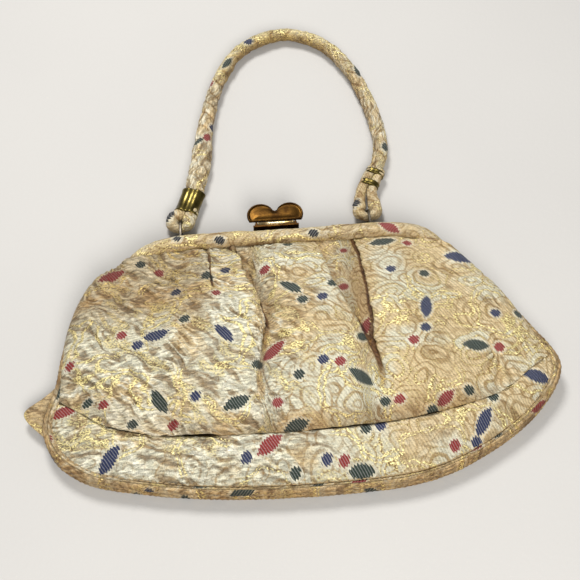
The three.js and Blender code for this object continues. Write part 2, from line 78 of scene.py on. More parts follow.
PANEL_TOP = [
    (-84, 12.5, 16.5), (-79.5, 13.4, 19.6), (-73, 15.6, 17.4), (-66, 18.4, 15.0), (-56, 20.3, 14.0),
    (0, 20.5, 14.0), (56, 20.3, 14.0), (66, 18.2, 15.0), (72, 15.0, 17.4), (78, 12.6, 19.6), (84, 11, 16.5),
]
PANEL_BULGE = 12
BAND_BULGE = 3.5
SEAM_LAP = 0.7           # the front panel hangs this far past its seam, and the band starts as far above it
BACK_LAP = 0.3
EDGE_INSET = 1.6         # how far inside the edge line the cloth meets the piping
BAND_END = 0.006         # share of the edge left free at each end of the band
CLOTH, GUSSET_CLOTH, FOLDED_CLOTH = 1.1, 0.9, 2.2     # thicknesses
LINING, BACK_LINING = 0.7, 0.5
BACK_Z = 2.2             # height of the back lining and of the back piping's middle

FRAME_PATH = [
    (-86.5, -7), (-85.5, 2), (-80, 13), (-69, 20.5), (-54, 23.2), (0, 23.2), (55, 23.2),
    (69, 20), (78.5, 11.5), (83.5, 2), (85, -7),
]
BACK_BAR_Z = 6.1
FRONT_BAR_Z = 15.6
SLEEVE_RADIUS = 4.5
SLEEVE_ENDS = (0.06, 0.94)
PIPING_RADII = (2.0, 1.95)
ARM_COVER = 4.2          # height of the panel's cloth over the middle of a frame arm

LINK_X = (-56, 46)
LOOP_Y = 40.6
HANDLE_Z = 4.6
HANDLE_RADIUS = 4.3
TWIST_PITCH = 21         # of the creases that wind round the handle
STRAND_OFFSET, STRAND_RADIUS, STRAND_PITCH = 1.2, 1.15, 14       # of the core's three strands
LOOP_BEND = 4.6          # radius of the handle's end round its link
LOOP_RADIUS = 2.75
FERRULES = [((-53.2, 50), (-48, 64.5)), ((47.4, 59), (53, 70))]
HANDLE_PATH = [
    (-43.8, 84), (-39.6, 113), (-31.5, 144), (-16, 170), (9.5, 181), (31.5, 172),
    (46, 151.5), (54, 128), (58.3, 102), (57.8, 84),
]

# ---- Camera ----
VIEW_AZIMUTH = math.radians(-4.5)
VIEW_HEIGHT = math.radians(58)
VIEW_DISTANCE = 0.57
FIELD_OF_VIEW = math.radians(30)


def make_camera():
    flat = math.cos(VIEW_HEIGHT)
    back = Vector((math.sin(VIEW_AZIMUTH) * flat, -math.cos(VIEW_AZIMUTH) * flat, math.sin(VIEW_HEIGHT)))
    data = bpy.data.cameras.new("camera")
    data.angle = FIELD_OF_VIEW
    data.clip_start = 0.01
    camera = bpy.data.objects.new("camera", data)
    camera.location = back * VIEW_DISTANCE
    camera.rotation_euler = back.to_track_quat("Z", "Y").to_euler()
    bpy.context.scene.collection.objects.link(camera)
    bpy.context.scene.camera = camera


make_camera()


# ---- Curves and noise ----
class Line:
    """A smooth curve through points, measured by the share of its length from 0 to 1."""

    def __init__(self, points, steps=24):
        points = np.array(points, float)
        ends = (2 * points[:1] - points[1:2], points, 2 * points[-1:] - points[-2:-1])
        around = np.vstack(ends)
        pieces = [self._piece(around[i:i + 4], steps) for i in range(len(points) - 1)]
        self.dense = np.vstack(pieces + [points[-1:]])
        far = np.linalg.norm(np.diff(self.dense, axis=0), axis=1).cumsum()
        self.length = far[-1]
        self.share = np.concatenate([[0], far]) / self.length

    @staticmethod
    def _piece(p, steps):
        gaps = np.sqrt(np.linalg.norm(np.diff(p, axis=0), axis=1))
        t = np.concatenate([[0], gaps.cumsum()])
        x = np.linspace(t[1], t[2], steps, endpoint=False)[:, None]
        for level in (1, 2, 3):
            low, high = {1: (0, 1), 2: (0, 2), 3: (1, 2)}[level]
            p = [((t[k + high] - x) * p[k] + (x - t[k + low]) * p[k + 1]) / (t[k + high] - t[k + low])
                 for k in range(4 - level)]
        return p[0]

    def at(self, share):
        share = np.asarray(share, float)
        return np.stack([np.interp(share, self.share, c) for c in self.dense.T], -1)

    def along(self, share):
        share = np.asarray(share, float)
        step = self.at(np.clip(share + 1e-3, 0, 1)) - self.at(np.clip(share - 1e-3, 0, 1))
        return step / np.linalg.norm(step, axis=-1, keepdims=True)

    def inside(self, share, inset):
        """Points moved to the left of the way along, in plan."""
        along = self.along(share)
        aside = np.stack([-along[..., 1], along[..., 0], 0 * along[..., 0]], -1)
        return self.at(share) + inset * aside / np.linalg.norm(aside, axis=-1, keepdims=True)

    def nearest(self, x, y):
        return self.share[np.argmin(np.hypot(self.dense[:, 0] - x, self.dense[:, 1] - y))]


class Noise:
    """Smooth seeded noise over a plane, from about -1 to 1."""

    def __init__(self, seed, size=256):
        self.size = size
        self.lattice = np.random.default_rng(seed).uniform(-1, 1, (size, size))

    def __call__(self, x, y):
        i, j = np.floor(x).astype(int), np.floor(y).astype(int)
        a, b = x - i, y - j
        a, b = a * a * (3 - 2 * a), b * b * (3 - 2 * b)
        low, high = (self.lattice[i % self.size, k % self.size] * (1 - a)
                     + self.lattice[(i + 1) % self.size, k % self.size] * a for k in (j, j + 1))
        return low * (1 - b) + high * b


NOISE = [Noise(seed) for seed in range(40, 52)]


def smooth(value, low, high):
    t = np.clip((value - low) / (high - low), 0, 1)
    return t * t * (3 - 2 * t)


def turned(x, y, degrees):
    c, s = math.cos(math.radians(degrees)), math.sin(math.radians(degrees))
    return x * c + y * s, -x * s + y * c


def crown(t, power):
    """0 at both ends and 1 in the middle."""
    return np.maximum(0, 4 * t * (1 - t)) ** power


def hanging(u):
    """How far the front panel hangs over its lower seam, along it: 1 in the middle, 0 towards the ends."""
    return smooth(u, 0.10, 0.34) * smooth(u, 0.93, 0.78)


def grid(rows, columns, start=0.0, end=1.0):
    """Shares across and down a sheet of cloth, as two rows of numbers and as two grids."""
    u, v = np.linspace(start, end, columns + 1), np.linspace(0, 1, rows + 1)
    return u, v, *np.meshgrid(u, v)


def circle(sides):
    return np.linspace(0, 2 * np.pi, sides, endpoint=False)


def wrapped(far, angles, radius):
    """Places on the flat cloth round a tube, whose two edges meet underneath."""
    return np.meshgrid(far, ((angles + np.pi) % (2 * np.pi) - np.pi) * radius, indexing="ij")


# ---- The brocade's pattern ----
RED, NAVY = (0.22, 0.010, 0.008), (0.004, 0.012, 0.060)
GREEN, DARK = (0.006, 0.020, 0.012), (0.004, 0.006, 0.010)
LEAF = (7.1, 3.0)       # half the length and width of a woven leaf
DOT = (2.75, 2.4)
MOTIF_REACH = 11       # a motif lies wholly within this of its middle, in x and in y
SHELL_PITCH = 15.0     # from one round shell of the pattern to the next
RING_PITCH = 3.9       # from ring to ring inside a shell
RING_RELIEF, SHELL_RELIEF, CREASE_RELIEF, ROPE_RELIEF = 0.2, 0.22, 2.1, 0.15


def motif_distance(x, y, shape, turn, size):
    """Distance to a leaf's or a dot's outline, less than 0 inside it."""
    a, b = turned(x, y, turn)
    long, wide = (LEAF if shape == "leaf" else DOT)
    long, wide = long * size, wide * size
    if shape == "leaf":
        radius = (long * long + wide * wide) / (2 * wide)
        return np.hypot(a, np.abs(b) + radius - wide) - radius
    return (np.hypot(a / long, b / wide) - 1) * wide


def scatter(seed, x, y, pitch=17):
    """Leaves and dots in loose rows over a rectangle of cloth."""
    rng = np.random.default_rng(seed)
    found = []
    for row, cy in enumerate(np.arange(y[0] + pitch / 3, y[1], pitch * 0.8)):
        for cx in np.arange(x[0] + (row % 2) * pitch / 2, x[1], pitch):
            place = rng.uniform(-0.28, 0.28, 2) * pitch
            leaf = rng.random() < 0.3
            colour = (RED, NAVY, GREEN)[rng.integers(3)]
            found.append(("leaf" if leaf else "dot", colour, cx + place[0], cy + place[1],
                          rng.uniform(-60, 60), rng.uniform(0.85, 1.05)))
    return found


def shells(x, y, seed, pitch=SHELL_PITCH):
    """Overlapping round shells, like clouds: how far a point is inside a rim, and a number for each shell."""
    rng = np.random.default_rng(seed)
    rim, own = np.full(x.shape, -1.0), np.full(x.shape, 0.5)
    for row, cy in enumerate(np.arange(y.max() + pitch, y.min() - pitch, -pitch * 0.62)):
        for cx in np.arange(x.min() - pitch, x.max() + pitch, pitch):
            ox, oy, size, number = rng.uniform(-1, 1, 4)
            px, py = cx + (row % 2) * pitch / 2 + 0.35 * pitch * ox, cy + 0.25 * pitch * oy
            radius = pitch * (0.58 + 0.16 * size)
            far = radius - np.hypot(x - px, (y - py) * 1.2)
            inside = far > 0
            rim[inside], own[inside] = far[inside], (number + 1) / 2
    return rim, own


def brocade(x, y, motifs, seed=1, mx=None, my=None, pucker=0.35, lean=-36, plain=0.0, deep=0.0):
    """The cloth's pattern at each point: the attributes that the material reads, and its relief in mm.
    x and y are places on the flat cloth, mx and my those that the motifs are placed by. plain is how far
    the scrolls give way to puckers, and the last argument is painted shade: how far the colour is darkened
    as if in shade, in creases, recesses and on shaded sides. Both run from 0 to 1."""
    warp_x = x + 2.4 * NOISE[0](x / 10, y / 10) + 0.7 * NOISE[1](x / 3.1, y / 3.1)
    warp_y = y + 2.4 * NOISE[2](x / 10, y / 10) + 0.7 * NOISE[3](x / 3.1, y / 3.1)
    rim, own = shells(warp_x, warp_y, seed)
    ring = np.cos(2 * np.pi * rim / RING_PITCH) * np.clip(1.2 - np.maximum(rim, 0) / 14, 0.4, 1)
    ring = np.where(rim < 0, NOISE[4](x / 1.6, y / 1.6) * 0.5, ring)
    ring = ring * (1 - 0.6 * plain)
    a, b = turned(warp_x, warp_y, lean)
    crease = 1 - 2.4 * np.abs(NOISE[5](a / 12, b / 2.3) + 0.3 * NOISE[6](a / 4.5, b / 1.2))
    share = (0.35 + 0.65 * plain) * (0.6 + 0.4 * smooth(NOISE[6](x / 17, y / 17), -0.4, 0.3))
    crease = crease * share
    pale = smooth(NOISE[7](x / 17, y / 13) + 0.9 * (own - 0.5) + 0.5 * plain, -0.6, 0.75)
    curl = NOISE[8](warp_x / 17, warp_y / 10) + 0.25 * NOISE[9](x / 7, y / 5)
    rope = smooth(np.abs(np.abs(curl) - 0.14), 0.08, 0.04) * smooth(NOISE[3](x / 21, y / 17), -0.45, -0.15)
    patches = smooth(NOISE[8](a / 21, b / 7) + 0.6 * NOISE[9](a / 7, b / 2.2), 0.3, 0.62)
    patches = patches * (0.35 + 0.65 * plain)
    thread = smooth(ring, 0.25, 0.8) * smooth(own + 0.4 * NOISE[9](x / 11, y / 11), 0.4, 0.8) * (1 - plain)
    gold = np.clip(0.8 * thread + 0.6 * patches + rope, 0, 1)
    nearest = np.full(x.shape, 3.0)
    tint = np.zeros(x.shape + (4,))
    tint[..., 3] = 1
    mx, my = (x, y) if mx is None else (mx, my)
    for shape, colour, cx, cy, turn, size in motifs:
        near = (np.abs(mx - cx) < MOTIF_REACH) & (np.abs(my - cy) < MOTIF_REACH)
        far = np.full(x.shape, 9.0)
        far[near] = motif_distance(mx[near] - cx, my[near] - cy, shape, turn, size)
        closer = far < nearest
        nearest[closer] = far[closer]
        tint[closer, :3] = colour
    plain, deep = np.broadcast_to(plain, x.shape), np.broadcast_to(deep, x.shape)
    relief = (RING_RELIEF * ring + SHELL_RELIEF * np.sqrt(np.clip(rim, 0, 6) / 6) * (1 - 0.6 * plain)
              + CREASE_RELIEF * pucker * crease + ROPE_RELIEF * rope)
    flat = smooth(nearest, -0.5, 1.2)
    relief = relief * (0.35 + 0.65 * flat) + 0.12 * (1 - flat)
    attributes = {"motif": nearest, "motif_colour": tint, "ring": ring, "crease": crease, "plain": plain,
                  "deep": deep, "gold": gold, "pale": pale, "cloth": np.stack([x, y, 0 * x], -1)}
    return attributes, relief


# ---- Meshes ----
UP = np.array([0, 0, 1.0])


def declare(piece, slot, body=None, *nodes):
    """Hide the CAD nodes that a piece replaces, and attach it to the body it rides on if it doesn't bend.
    slot is not used.
    """
    if nodes:
        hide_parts(*nodes)
    if body:
        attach(piece, body)


def quads(*corners):
    return np.stack(corners, -1).reshape(-1, 4).tolist()


def ring_faces(rings, sides, first=0, backward=False):
    """Faces that join closed rings of points one to the next, with a cap at each end."""
    index = first + np.arange(rings * sides).reshape(rings, sides)
    after = np.roll(index, -1, axis=1)
    first_cap, last_cap = index[0].tolist(), index[-1].tolist()
    if backward:
        return quads(index[:-1], index[1:], after[1:], after[:-1]) + [first_cap, last_cap[::-1]]
    return quads(index[:-1], after[:-1], after[1:], index[1:]) + [first_cap[::-1], last_cap]


def normals(points):
    """Unit normals of a grid of points, rows running down and columns to the right."""
    right = np.gradient(points, axis=1)
    down = np.gradient(points, axis=0)
    out = np.cross(down, right)
    return out / np.maximum(np.linalg.norm(out, axis=-1, keepdims=True), 1e-9)


def new_object(name, vertices, faces, attributes, material):
    mesh = bpy.data.meshes.new(name)
    mesh.from_pydata((np.asarray(vertices) * MM).tolist(), [], faces)
    for key, values in attributes.items():
        values = np.asarray(values, np.float32)
        width = 1 if values.ndim == 1 else values.shape[1]
        kinds = {1: ("FLOAT", "value"), 3: ("FLOAT_VECTOR", "vector"), 4: ("FLOAT_COLOR", "color")}
        kind, field = kinds[width]
        mesh.attributes.new(key, kind, "POINT").data.foreach_set(field, values.ravel())
    mesh.polygons.foreach_set("use_smooth", np.ones(len(mesh.polygons), bool))
    mesh.materials.append(material)
    mesh.update()
    piece = bpy.data.objects.new(name, mesh)
    bpy.context.scene.collection.objects.link(piece)
    return piece


def cloth_shell(name, points, attributes, thickness, material, coarse=4):
    """A closed sheet: a fine upper face, a coarser lower face, and a rim between them."""
    rows, columns = points.shape[0] - 1, points.shape[1] - 1
    assert rows % coarse == 0 and columns % coarse == 0, (name, rows, columns)
    index = np.arange((rows + 1) * (columns + 1)).reshape(rows + 1, columns + 1)
    under = points[::coarse, ::coarse] - thickness * normals(points[::coarse, ::coarse])
    low = index.size + np.arange(under[..., 0].size).reshape(under.shape[:2])
    faces = quads(index[:-1, :-1], index[1:, :-1], index[1:, 1:], index[:-1, 1:])
    faces += quads(low[:-1, :-1], low[:-1, 1:], low[1:, 1:], low[1:, :-1])
    for top, bottom, way in ((index[0], low[0], 1), (index[-1], low[-1], -1),
                             (index[:, 0], low[:, 0], -1), (index[:, -1], low[:, -1], 1)):
        for k in range(len(bottom) - 1):
            upper = top[k * coarse:(k + 1) * coarse + 1].tolist()
            face = upper + [int(bottom[k + 1]), int(bottom[k])]
            faces.append(face if way > 0 else face[::-1])
    both = {key: np.concatenate([part.reshape(-1, *v.shape[2:]) for part in (v, v[::coarse, ::coarse])])
            for key, v in attributes.items()}
    vertices = np.concatenate([points.reshape(-1, 3), under.reshape(-1, 3)])
    return new_object(name, vertices, faces, both, material)


def opened_out(surface):
    """A sheet's longest row and column, and its area, with its folds opened out, in metres."""
    across = np.linalg.norm(np.diff(surface, axis=1), axis=-1).sum(axis=1).max()
    down = np.linalg.norm(np.diff(surface, axis=0), axis=-1).sum(axis=0).max()
    a, b = surface[1:, 1:] - surface[:-1, :-1], surface[1:, :-1] - surface[:-1, 1:]
    area = np.linalg.norm(np.cross(a, b), axis=-1).sum() / 2
    return {"flat": (float(across * MM), float(down * MM)), "area": float(area * MM * MM)}


def tube_grid(line, shares, angles, radius):
    """Points round a level line. Angle 0 is up, and a quarter turn is to the right of the way along."""
    centre, along = line.at(shares), line.along(shares)
    right = np.stack([along[:, 1], -along[:, 0], 0 * along[:, 0]], -1)
    right /= np.linalg.norm(right, axis=-1, keepdims=True)
    up = np.cross(right, along)
    radius = np.broadcast_to(radius, (len(shares), len(angles)))[..., None]
    turn = angles[None, :, None]
    return centre[:, None] + radius * (np.cos(turn) * up[:, None] + np.sin(turn) * right[:, None])


def tube(name, points, attributes, material):
    """A closed tube from rings of points, with a cap of faces at each end."""
    flat = {key: v.reshape(-1, *v.shape[2:]) for key, v in attributes.items()}
    return new_object(name, points.reshape(-1, 3), ring_faces(*points.shape[:2]), flat, material)


# ---- Materials ----
class Shader:
    """A material's node tree, built by short calls."""

    def __init__(self, name, **constants):
        self.material = bpy.data.materials.new(name)
        self.material.use_nodes = True
        self.tree = self.material.node_tree
        self.tree.nodes.clear()
        self.surface = self.tree.nodes.new("ShaderNodeBsdfPrincipled")
        output = self.tree.nodes.new("ShaderNodeOutputMaterial")
        self.tree.links.new(self.surface.outputs[0], output.inputs[0])
        for key, value in constants.items():
            self.surface.inputs[key.replace("_", " ")].default_value = value

    def put(self, value, socket):
        if isinstance(value, bpy.types.NodeSocket):
            self.tree.links.new(value, socket)
        else:
            if socket.type == "RGBA" and len(value) == 3:
                value = (*value, 1)
            socket.default_value = value

    def node(self, kind, inputs=(), out=0, **settings):
        made = self.tree.nodes.new(kind)
        for key, value in settings.items():
            setattr(made, key, value)
        for key, value in dict(inputs).items():
            self.put(value, made.inputs[key])
        return made.outputs[out]

    def math(self, operation, *values):
        return self.node("ShaderNodeMath", dict(enumerate(values)), operation=operation)

    def times(self, a, b):
        return self.math("MULTIPLY", a, b)

    def scaled(self, value, factor, plus):
        return self.math("MULTIPLY_ADD", value, factor, plus)

    def mix(self, share, a, b):
        return self.node("ShaderNodeMix", {0: share, 6: a, 7: b}, out=2, data_type="RGBA")

    def blend_value(self, share, a, b):
        return self.node("ShaderNodeMix", {0: share, 2: a, 3: b}, out=0, data_type="FLOAT")

    def tinted(self, share, colour, tint):
        return self.node("ShaderNodeMix", {0: share, 6: colour, 7: tint}, out=2, data_type="RGBA",
                         blend_type="MULTIPLY")

    def scale_colour(self, colour, factor):
        return self.node("ShaderNodeVectorMath", {0: colour, "Scale": factor}, operation="SCALE")

    def attribute(self, name, out="Fac"):
        return self.node("ShaderNodeAttribute", out=out, attribute_name=name)

    def object_place(self):
        return self.node("ShaderNodeTexCoord", out="Object")

    def noise(self, place, scale, detail=2.0, distortion=0.0):
        return self.node("ShaderNodeTexNoise", {
            "Vector": place, "Scale": scale, "Detail": detail, "Distortion": distortion}, out="Fac")

    def stretched(self, place, scale, turn=0.0):
        return self.node("ShaderNodeMapping", {
            "Vector": place, "Scale": scale, "Rotation": (0, 0, math.radians(turn))})

    def bands(self, place, scale, distortion=0.0):
        return self.node("ShaderNodeTexWave", {
            "Vector": place, "Scale": scale, "Distortion": distortion, "Detail": 1.0}, out="Fac")

    def step(self, value, low, high):
        return self.node("ShaderNodeMapRange", {0: value, 1: low, 2: high, 3: 0.0, 4: 1.0},
                         interpolation_type="SMOOTHSTEP")

    def bump(self, height, distance, strength=1.0, normal=None):
        inputs = {"Height": height, "Distance": distance, "Strength": strength}
        if normal is not None:
            inputs["Normal"] = normal
        return self.node("ShaderNodeBump", inputs)

    def finish(self, **links):
        for key, value in links.items():
            self.put(value, self.surface.inputs[key.replace("_", " ")])
        return self.material


PALE, CREAM, IVORY = (0.68, 0.66, 0.54), (0.53, 0.51, 0.39), (0.52, 0.41, 0.235)
TAN, BROWN, GOLD = (0.27, 0.175, 0.065), (0.14, 0.072, 0.014), (0.92, 0.81, 0.40)


def brocade_material(name, warmth, gold_share=1.0):
    """Woven ivory ground, tan relief, metallic thread in the scrolls and coloured motifs floated in satin."""
    s = Shader(name, Sheen_Weight=0.03, Sheen_Roughness=0.4, Sheen_Tint=(1, 0.96, 0.86, 1), IOR=1.45)
    cloth = s.attribute("cloth", "Vector")
    ring, crease, plain = s.attribute("ring"), s.attribute("crease"), s.attribute("plain")
    cloudy = s.noise(cloth, 0.16, 3.0)
    fine = s.noise(cloth, 0.8, 2.0)
    speck = s.noise(cloth, 1.7, 1.0)
    steep = s.bands(s.stretched(cloth, (1, 1, 1), -36), 0.215, 1.3)
    slack = s.step(s.noise(s.stretched(cloth, (0.22, 1.0, 1), 36), 0.95, 2.0, 0.6), 0.36, 0.66)
    hatch = s.blend_value(s.step(plain, 0.1, 0.7), s.scaled(steep, 0.44, 0.29), slack)
    flecks = s.noise(s.stretched(cloth, (0.35, 1.25, 1), 40), 0.75, 2.0)
    seen = s.step(s.noise(cloth, 0.07, 2.0), 0.36, 0.6)

    # The ground, the rings of the scrolls, and the shade and light of the creases.
    tone = s.scaled(s.attribute("pale"), 0.8, s.scaled(cloudy, 0.9, -0.55 - warmth))
    base = s.mix(s.step(tone, -0.1, 0.6), IVORY, CREAM)
    scroll = s.step(s.scaled(fine, 1.2, ring), 0.6, 1.25)
    base = s.mix(s.times(scroll, s.scaled(seen, 0.45, 0.4)), base, TAN)
    base = s.mix(s.times(s.step(s.times(crease, -1.0), 0.0, 0.6), 0.66), base, BROWN)
    base = s.mix(s.times(s.step(crease, 0.3, 0.75), 0.75), base, PALE)
    base = s.mix(s.times(s.step(flecks, 0.44, 0.36), 0.35), base, BROWN)
    light = s.scaled(hatch, 0.75, s.scaled(speck, 0.9, 0.26))
    base = s.scale_colour(base, light)

    # Metallic thread, broken into glints.
    lurex = s.times(s.attribute("gold"), gold_share)
    beads = s.noise(s.stretched(cloth, (1.0, 1.7, 1.0), 40), 0.85, 1.0)
    glint = s.step(s.scaled(lurex, 0.09, beads), 0.52, 0.62)
    gold = s.times(lurex, glint)
    base = s.tinted(s.times(lurex, 0.75), base, (0.58, 0.46, 0.24))
    base = s.mix(gold, base, GOLD)

    # Woven motifs with stepped edges and a pale outline.
    edge = s.math("ADD", s.attribute("motif"), s.scaled(steep, 0.8, -0.3))
    inside = s.step(edge, 0.2, -0.2)
    halo = s.math("SUBTRACT", s.step(edge, 1.3, 0.7), inside)
    base = s.mix(s.times(halo, 0.5), base, PALE)
    floats = s.bands(s.stretched(cloth, (1, 1, 1), -36), 0.27, 1.4)
    thread = s.step(s.scaled(speck, 0.4, floats), 0.85, 1.15)
    motif = s.mix(s.times(thread, 0.3), s.attribute("motif_colour", "Color"), (0.50, 0.50, 0.48))
    base = s.mix(inside, base, motif)
    # Painted shade: darker and browner in folds and creases, in recesses and on the shaded sides of tubes.
    deep = s.attribute("deep")
    base = s.tinted(s.step(deep, 0.04, 0.65), base, (0.60, 0.49, 0.36))
    base = s.tinted(s.step(deep, 0.6, 1.0), base, (0.36, 0.25, 0.16))

    covered = s.math("SUBTRACT", 1.0, inside)
    metal = s.times(s.times(gold, covered), 0.6)
    rough = s.math("SUBTRACT", s.scaled(fine, 0.3, 0.42), s.times(metal, 0.25))
    normal = s.bump(hatch, 0.0004, 0.8)
    normal = s.bump(glint, 0.0003, 0.6, normal)
    normal = s.bump(speck, 0.0006, 0.7, normal)
    return s.finish(Base_Color=base, Metallic=metal, Roughness=rough, Normal=normal)


def satin_material():
    """Smooth lining with a soft lengthwise sheen."""
    s = Shader("satin_lining", Sheen_Weight=0.3, Sheen_Tint=(1, 0.95, 0.85, 1))
    place = s.object_place()
    threads = s.bands(s.stretched(place, (1000, 1000, 1000), 90), 0.9, 0.4)
    cloudy = s.noise(place, 60.0, 3.0)
    base = s.mix(s.step(cloudy, 0.3, 0.7), (0.60, 0.49, 0.31), (0.70, 0.60, 0.42))
    rough = s.scaled(cloudy, 0.2, 0.28)
    return s.finish(Base_Color=base, Roughness=rough, Normal=s.bump(threads, 0.00008, 0.5))


def metal_material(name, bright, dark, roughness):
    """Rubbed metal: darker patches, fine scratches and an uneven polish."""
    s = Shader(name, Metallic=1.0)
    place = s.object_place()
    patches = s.noise(place, 140.0, 5.0, 0.6)
    scratch = s.noise(place, 900.0, 2.0)
    base = s.mix(s.step(s.scaled(scratch, 0.25, patches), 0.45, 0.8), bright, dark)
    rough = s.scaled(patches, 0.175, s.scaled(scratch, 0.12, roughness - 0.15))
    normal = s.bump(scratch, 0.00004, 0.5)
    normal = s.bump(patches, 0.00015, 0.4, normal)
    return s.finish(Base_Color=base, Roughness=rough, Normal=normal)


def cord_material(name, dark, light):
    """Fuzzy twisted fibres."""
    s = Shader(name, Sheen_Weight=0.3)
    fibres = s.noise(s.object_place(), 1500.0, 3.0)
    return s.finish(Base_Color=s.mix(fibres, dark, light), Roughness=s.scaled(fibres, 0.2, 0.7),
                    Normal=s.bump(fibres, 0.0002, 0.8))


PANEL_CLOTH = brocade_material("brocade_panel", 0.14)
EDGE_CLOTH = brocade_material("brocade_edge", 0.6, 1.2)
HANDLE_CLOTH = brocade_material("brocade_handle", 0.45, 1.1)
SATIN = satin_material()
BRASS = metal_material("brass_fittings", (0.55, 0.42, 0.17), (0.20, 0.13, 0.045), 0.32)
TAB_BRASS = metal_material("brass_tab", (0.062, 0.030, 0.006), (0.025, 0.011, 0.003), 0.36)
OLIVE_BRASS = metal_material("brass_ferrules", (0.20, 0.155, 0.045), (0.06, 0.046, 0.012), 0.30)
# Brass much lighter than the tab's: a painted highlight along the tab's barrel.
HIGHLIGHT_BRASS = metal_material("brass_painted_highlight", (0.75, 0.62, 0.36), (0.30, 0.20, 0.08), 0.30)
STEEL = metal_material("dark_steel", (0.10, 0.088, 0.07), (0.035, 0.03, 0.024), 0.38)
COTTON = cord_material("cotton_core", (0.62, 0.57, 0.47), (0.80, 0.77, 0.68))
THREAD = cord_material("sewing_thread", (0.30, 0.20, 0.09), (0.46, 0.34, 0.18))

# ---- Front panel ----
edge = Line(EDGE)
band_left, band_right = (edge.nearest(*p) for p in BAND_ENDS)
seam = Line([edge.inside(band_left, EDGE_INSET), *SEAM, edge.inside(band_right, EDGE_INSET)])


def patch(top, bottom, left, right, u, v):
    """A surface between four edges, given as points along them. Rows run from top to bottom."""
    U, V = u[None, :, None], v[:, None, None]
    corners = ((1 - U) * (1 - V) * top[0] + U * (1 - V) * top[-1]
               + (1 - U) * V * bottom[0] + U * V * bottom[-1])
    return (1 - V) * top[None] + V * bottom[None] + (1 - U) * left[:, None] + U * right[:, None] - corners


def panel_outline(u, v):
    """The bag's outline above the seam, as the back panel and the lining follow it."""
    left, right = (Line([*shoulder, *edge.inside(np.linspace(hinge, band, 14), EDGE_INSET)]).at(v)
                   for shoulder, hinge, band in zip(SHOULDERS, (0, 1), (band_left, band_right)))
    whole = np.linspace(0, 1, len(u))
    return patch(Line(PANEL_TOP).at(whole), seam.inside(whole, BACK_LAP), left, right, u, v)


# Folds of the gathered panel: the side whose cloth lies over the other, how far it is shifted and raised, and
# the fold's route from the sleeve down, as x, y, strength.
FOLDS = [
    ("left", 1.4, 1.2, [(-43, 20, 0.2), (-42, 12, 0.6), (-41, 2, 1), (-40, -9, 0.9), (-39, -17, 0)]),
    ("left", 2.6, 2.1, [(-29, 20, 0.9), (-26, 6, 1), (-23, -5, 1), (-17, -22, 0.8), (-16, -40, 0.4),
        (-19, -58, 0.25), (-22, -76, 0.12), (-26, -90, 0)]),
    ("left", 2.6, 2.2, [(13, 20, 0.9), (16.5, 3, 1), (20, -13, 1), (25, -28, 0.8), (31, -44, 0.55),
        (36, -60, 0.2), (37, -80, 0)]),
    ("right", 2.3, 2.2, [(35, 20, 0.6), (37.5, 4, 0.9), (38.6, -14, 1), (38.5, -32, 1), (38, -48, 0.6),
        (40, -62, 0.35), (41, -78, 0)]),
]
# Soft hollows and swells: a width, and a route as x, y, depth.
HOLLOWS = [
    (9, [(-56, 18, 2), (-66, -4, 3.2), (-72, -22, 3), (-70, -45, 2), (-64, -62, 0)]),
    (5, [(-35, 20, 3), (-34, 4, 4.5), (-31, -14, 0.5)]),
    (6, [(-25, 20, 4), (-20, -2, 5.5), (-14, -22, 4.5), (-13, -40, 3), (-17, -60, 2), (-24, -88, 0.5)]),
    (6, [(18, 20, 3), (20, 3, 3.5), (23, -14, 3), (29, -36, 1.5), (34, -56, 0)]),
    (7, [(29, 20, 3), (31, 0, 3.5), (33, -20, 4), (34, -40, 3), (37, -62, 3), (41, -84, 0.5)]),
    (7, [(-88, -20, 2), (-84, -45, 1.5), (-80, -65, 0)]),
    (15, [(-44, 18, -0.8), (-44, -10, -1.6), (-38, -40, -2), (-40, -66, -1.5), (-44, -88, 0)]),
    (13, [(-4, 20, -1.5), (-2, -10, -2.8), (4, -40, -3), (8, -70, -1.5), (8, -88, 0)]),
    (14, [(50, 16, -1.2), (54, -10, -2.8), (56, -40, -2.8), (60, -70, -1), (60, -86, 0)]),
    (16, [(92, -10, -0.5), (98, -36, -1.8), (96, -60, 0)]),
]


def along_route(route, y):
    """Each column of a route, read off at heights y."""
    rows = np.array(sorted(route, key=lambda p: p[1]), float)
    return [np.interp(y, rows[:, 1], rows[:, k]) for k in range(len(route[0])) if k != 1]


def folded(points, down):
    """The panel with its hollows sunk in and its folds laid over, and the painted shade that darkens it in
    the hollows and beside the folds.
    """
    x, y = points[..., 0].copy(), points[..., 1].copy()
    deep = np.zeros(x.shape)
    below = smooth(down, 0.0, 0.07)
    for wide, route in HOLLOWS:
        middle, depth = along_route(route, y)
        points[..., 2] -= below * depth * np.exp(-((x - middle) / wide) ** 2)
        # Painted shade in the hollows, darker where they sink deeper.
        deep += 0.085 * np.maximum(depth, 0) * np.exp(-((x - middle) / (0.95 * wide)) ** 2)
    for over, shift, rise, route in FOLDS:
        middle, strength = along_route(route, y)
        off = x - middle + 0.7 * NOISE[11](y / 9, x * 0)
        side = 1 if over == "left" else -1
        near = strength * np.exp(-(off / 8) ** 2)
        step = np.tanh(off / 0.9)
        points[..., 0] -= shift * step * near
        points[..., 2] -= below * side * rise * step * near
        # Painted shade: a dark line beside each fold's lapped edge, and softer shade beyond it on the under
        # side.
        under = side * off
        deep += 1.2 * strength * smooth(under, -0.7, 0.3) * smooth(under, shift + 1.2, shift + 0.5)
        deep += 0.17 * strength * smooth(under, 0, 1) * np.exp(-(np.maximum(under, 0) / 6) ** 2)
    return points, np.clip(deep, 0, 1)



def rolled_side(points, across, y):
    """Roll a side of the panel down over the bag's edge. across is the distance in from that side."""
    heights = np.array(ROLL_DOWN, float)
    drop = np.interp(y, heights[:, 0], heights[:, 1])
    out = np.clip(1 - across / ROLL_WIDE, 0, 1)
    points[..., 2] -= drop * (1 - np.sqrt(1 - out ** 2))


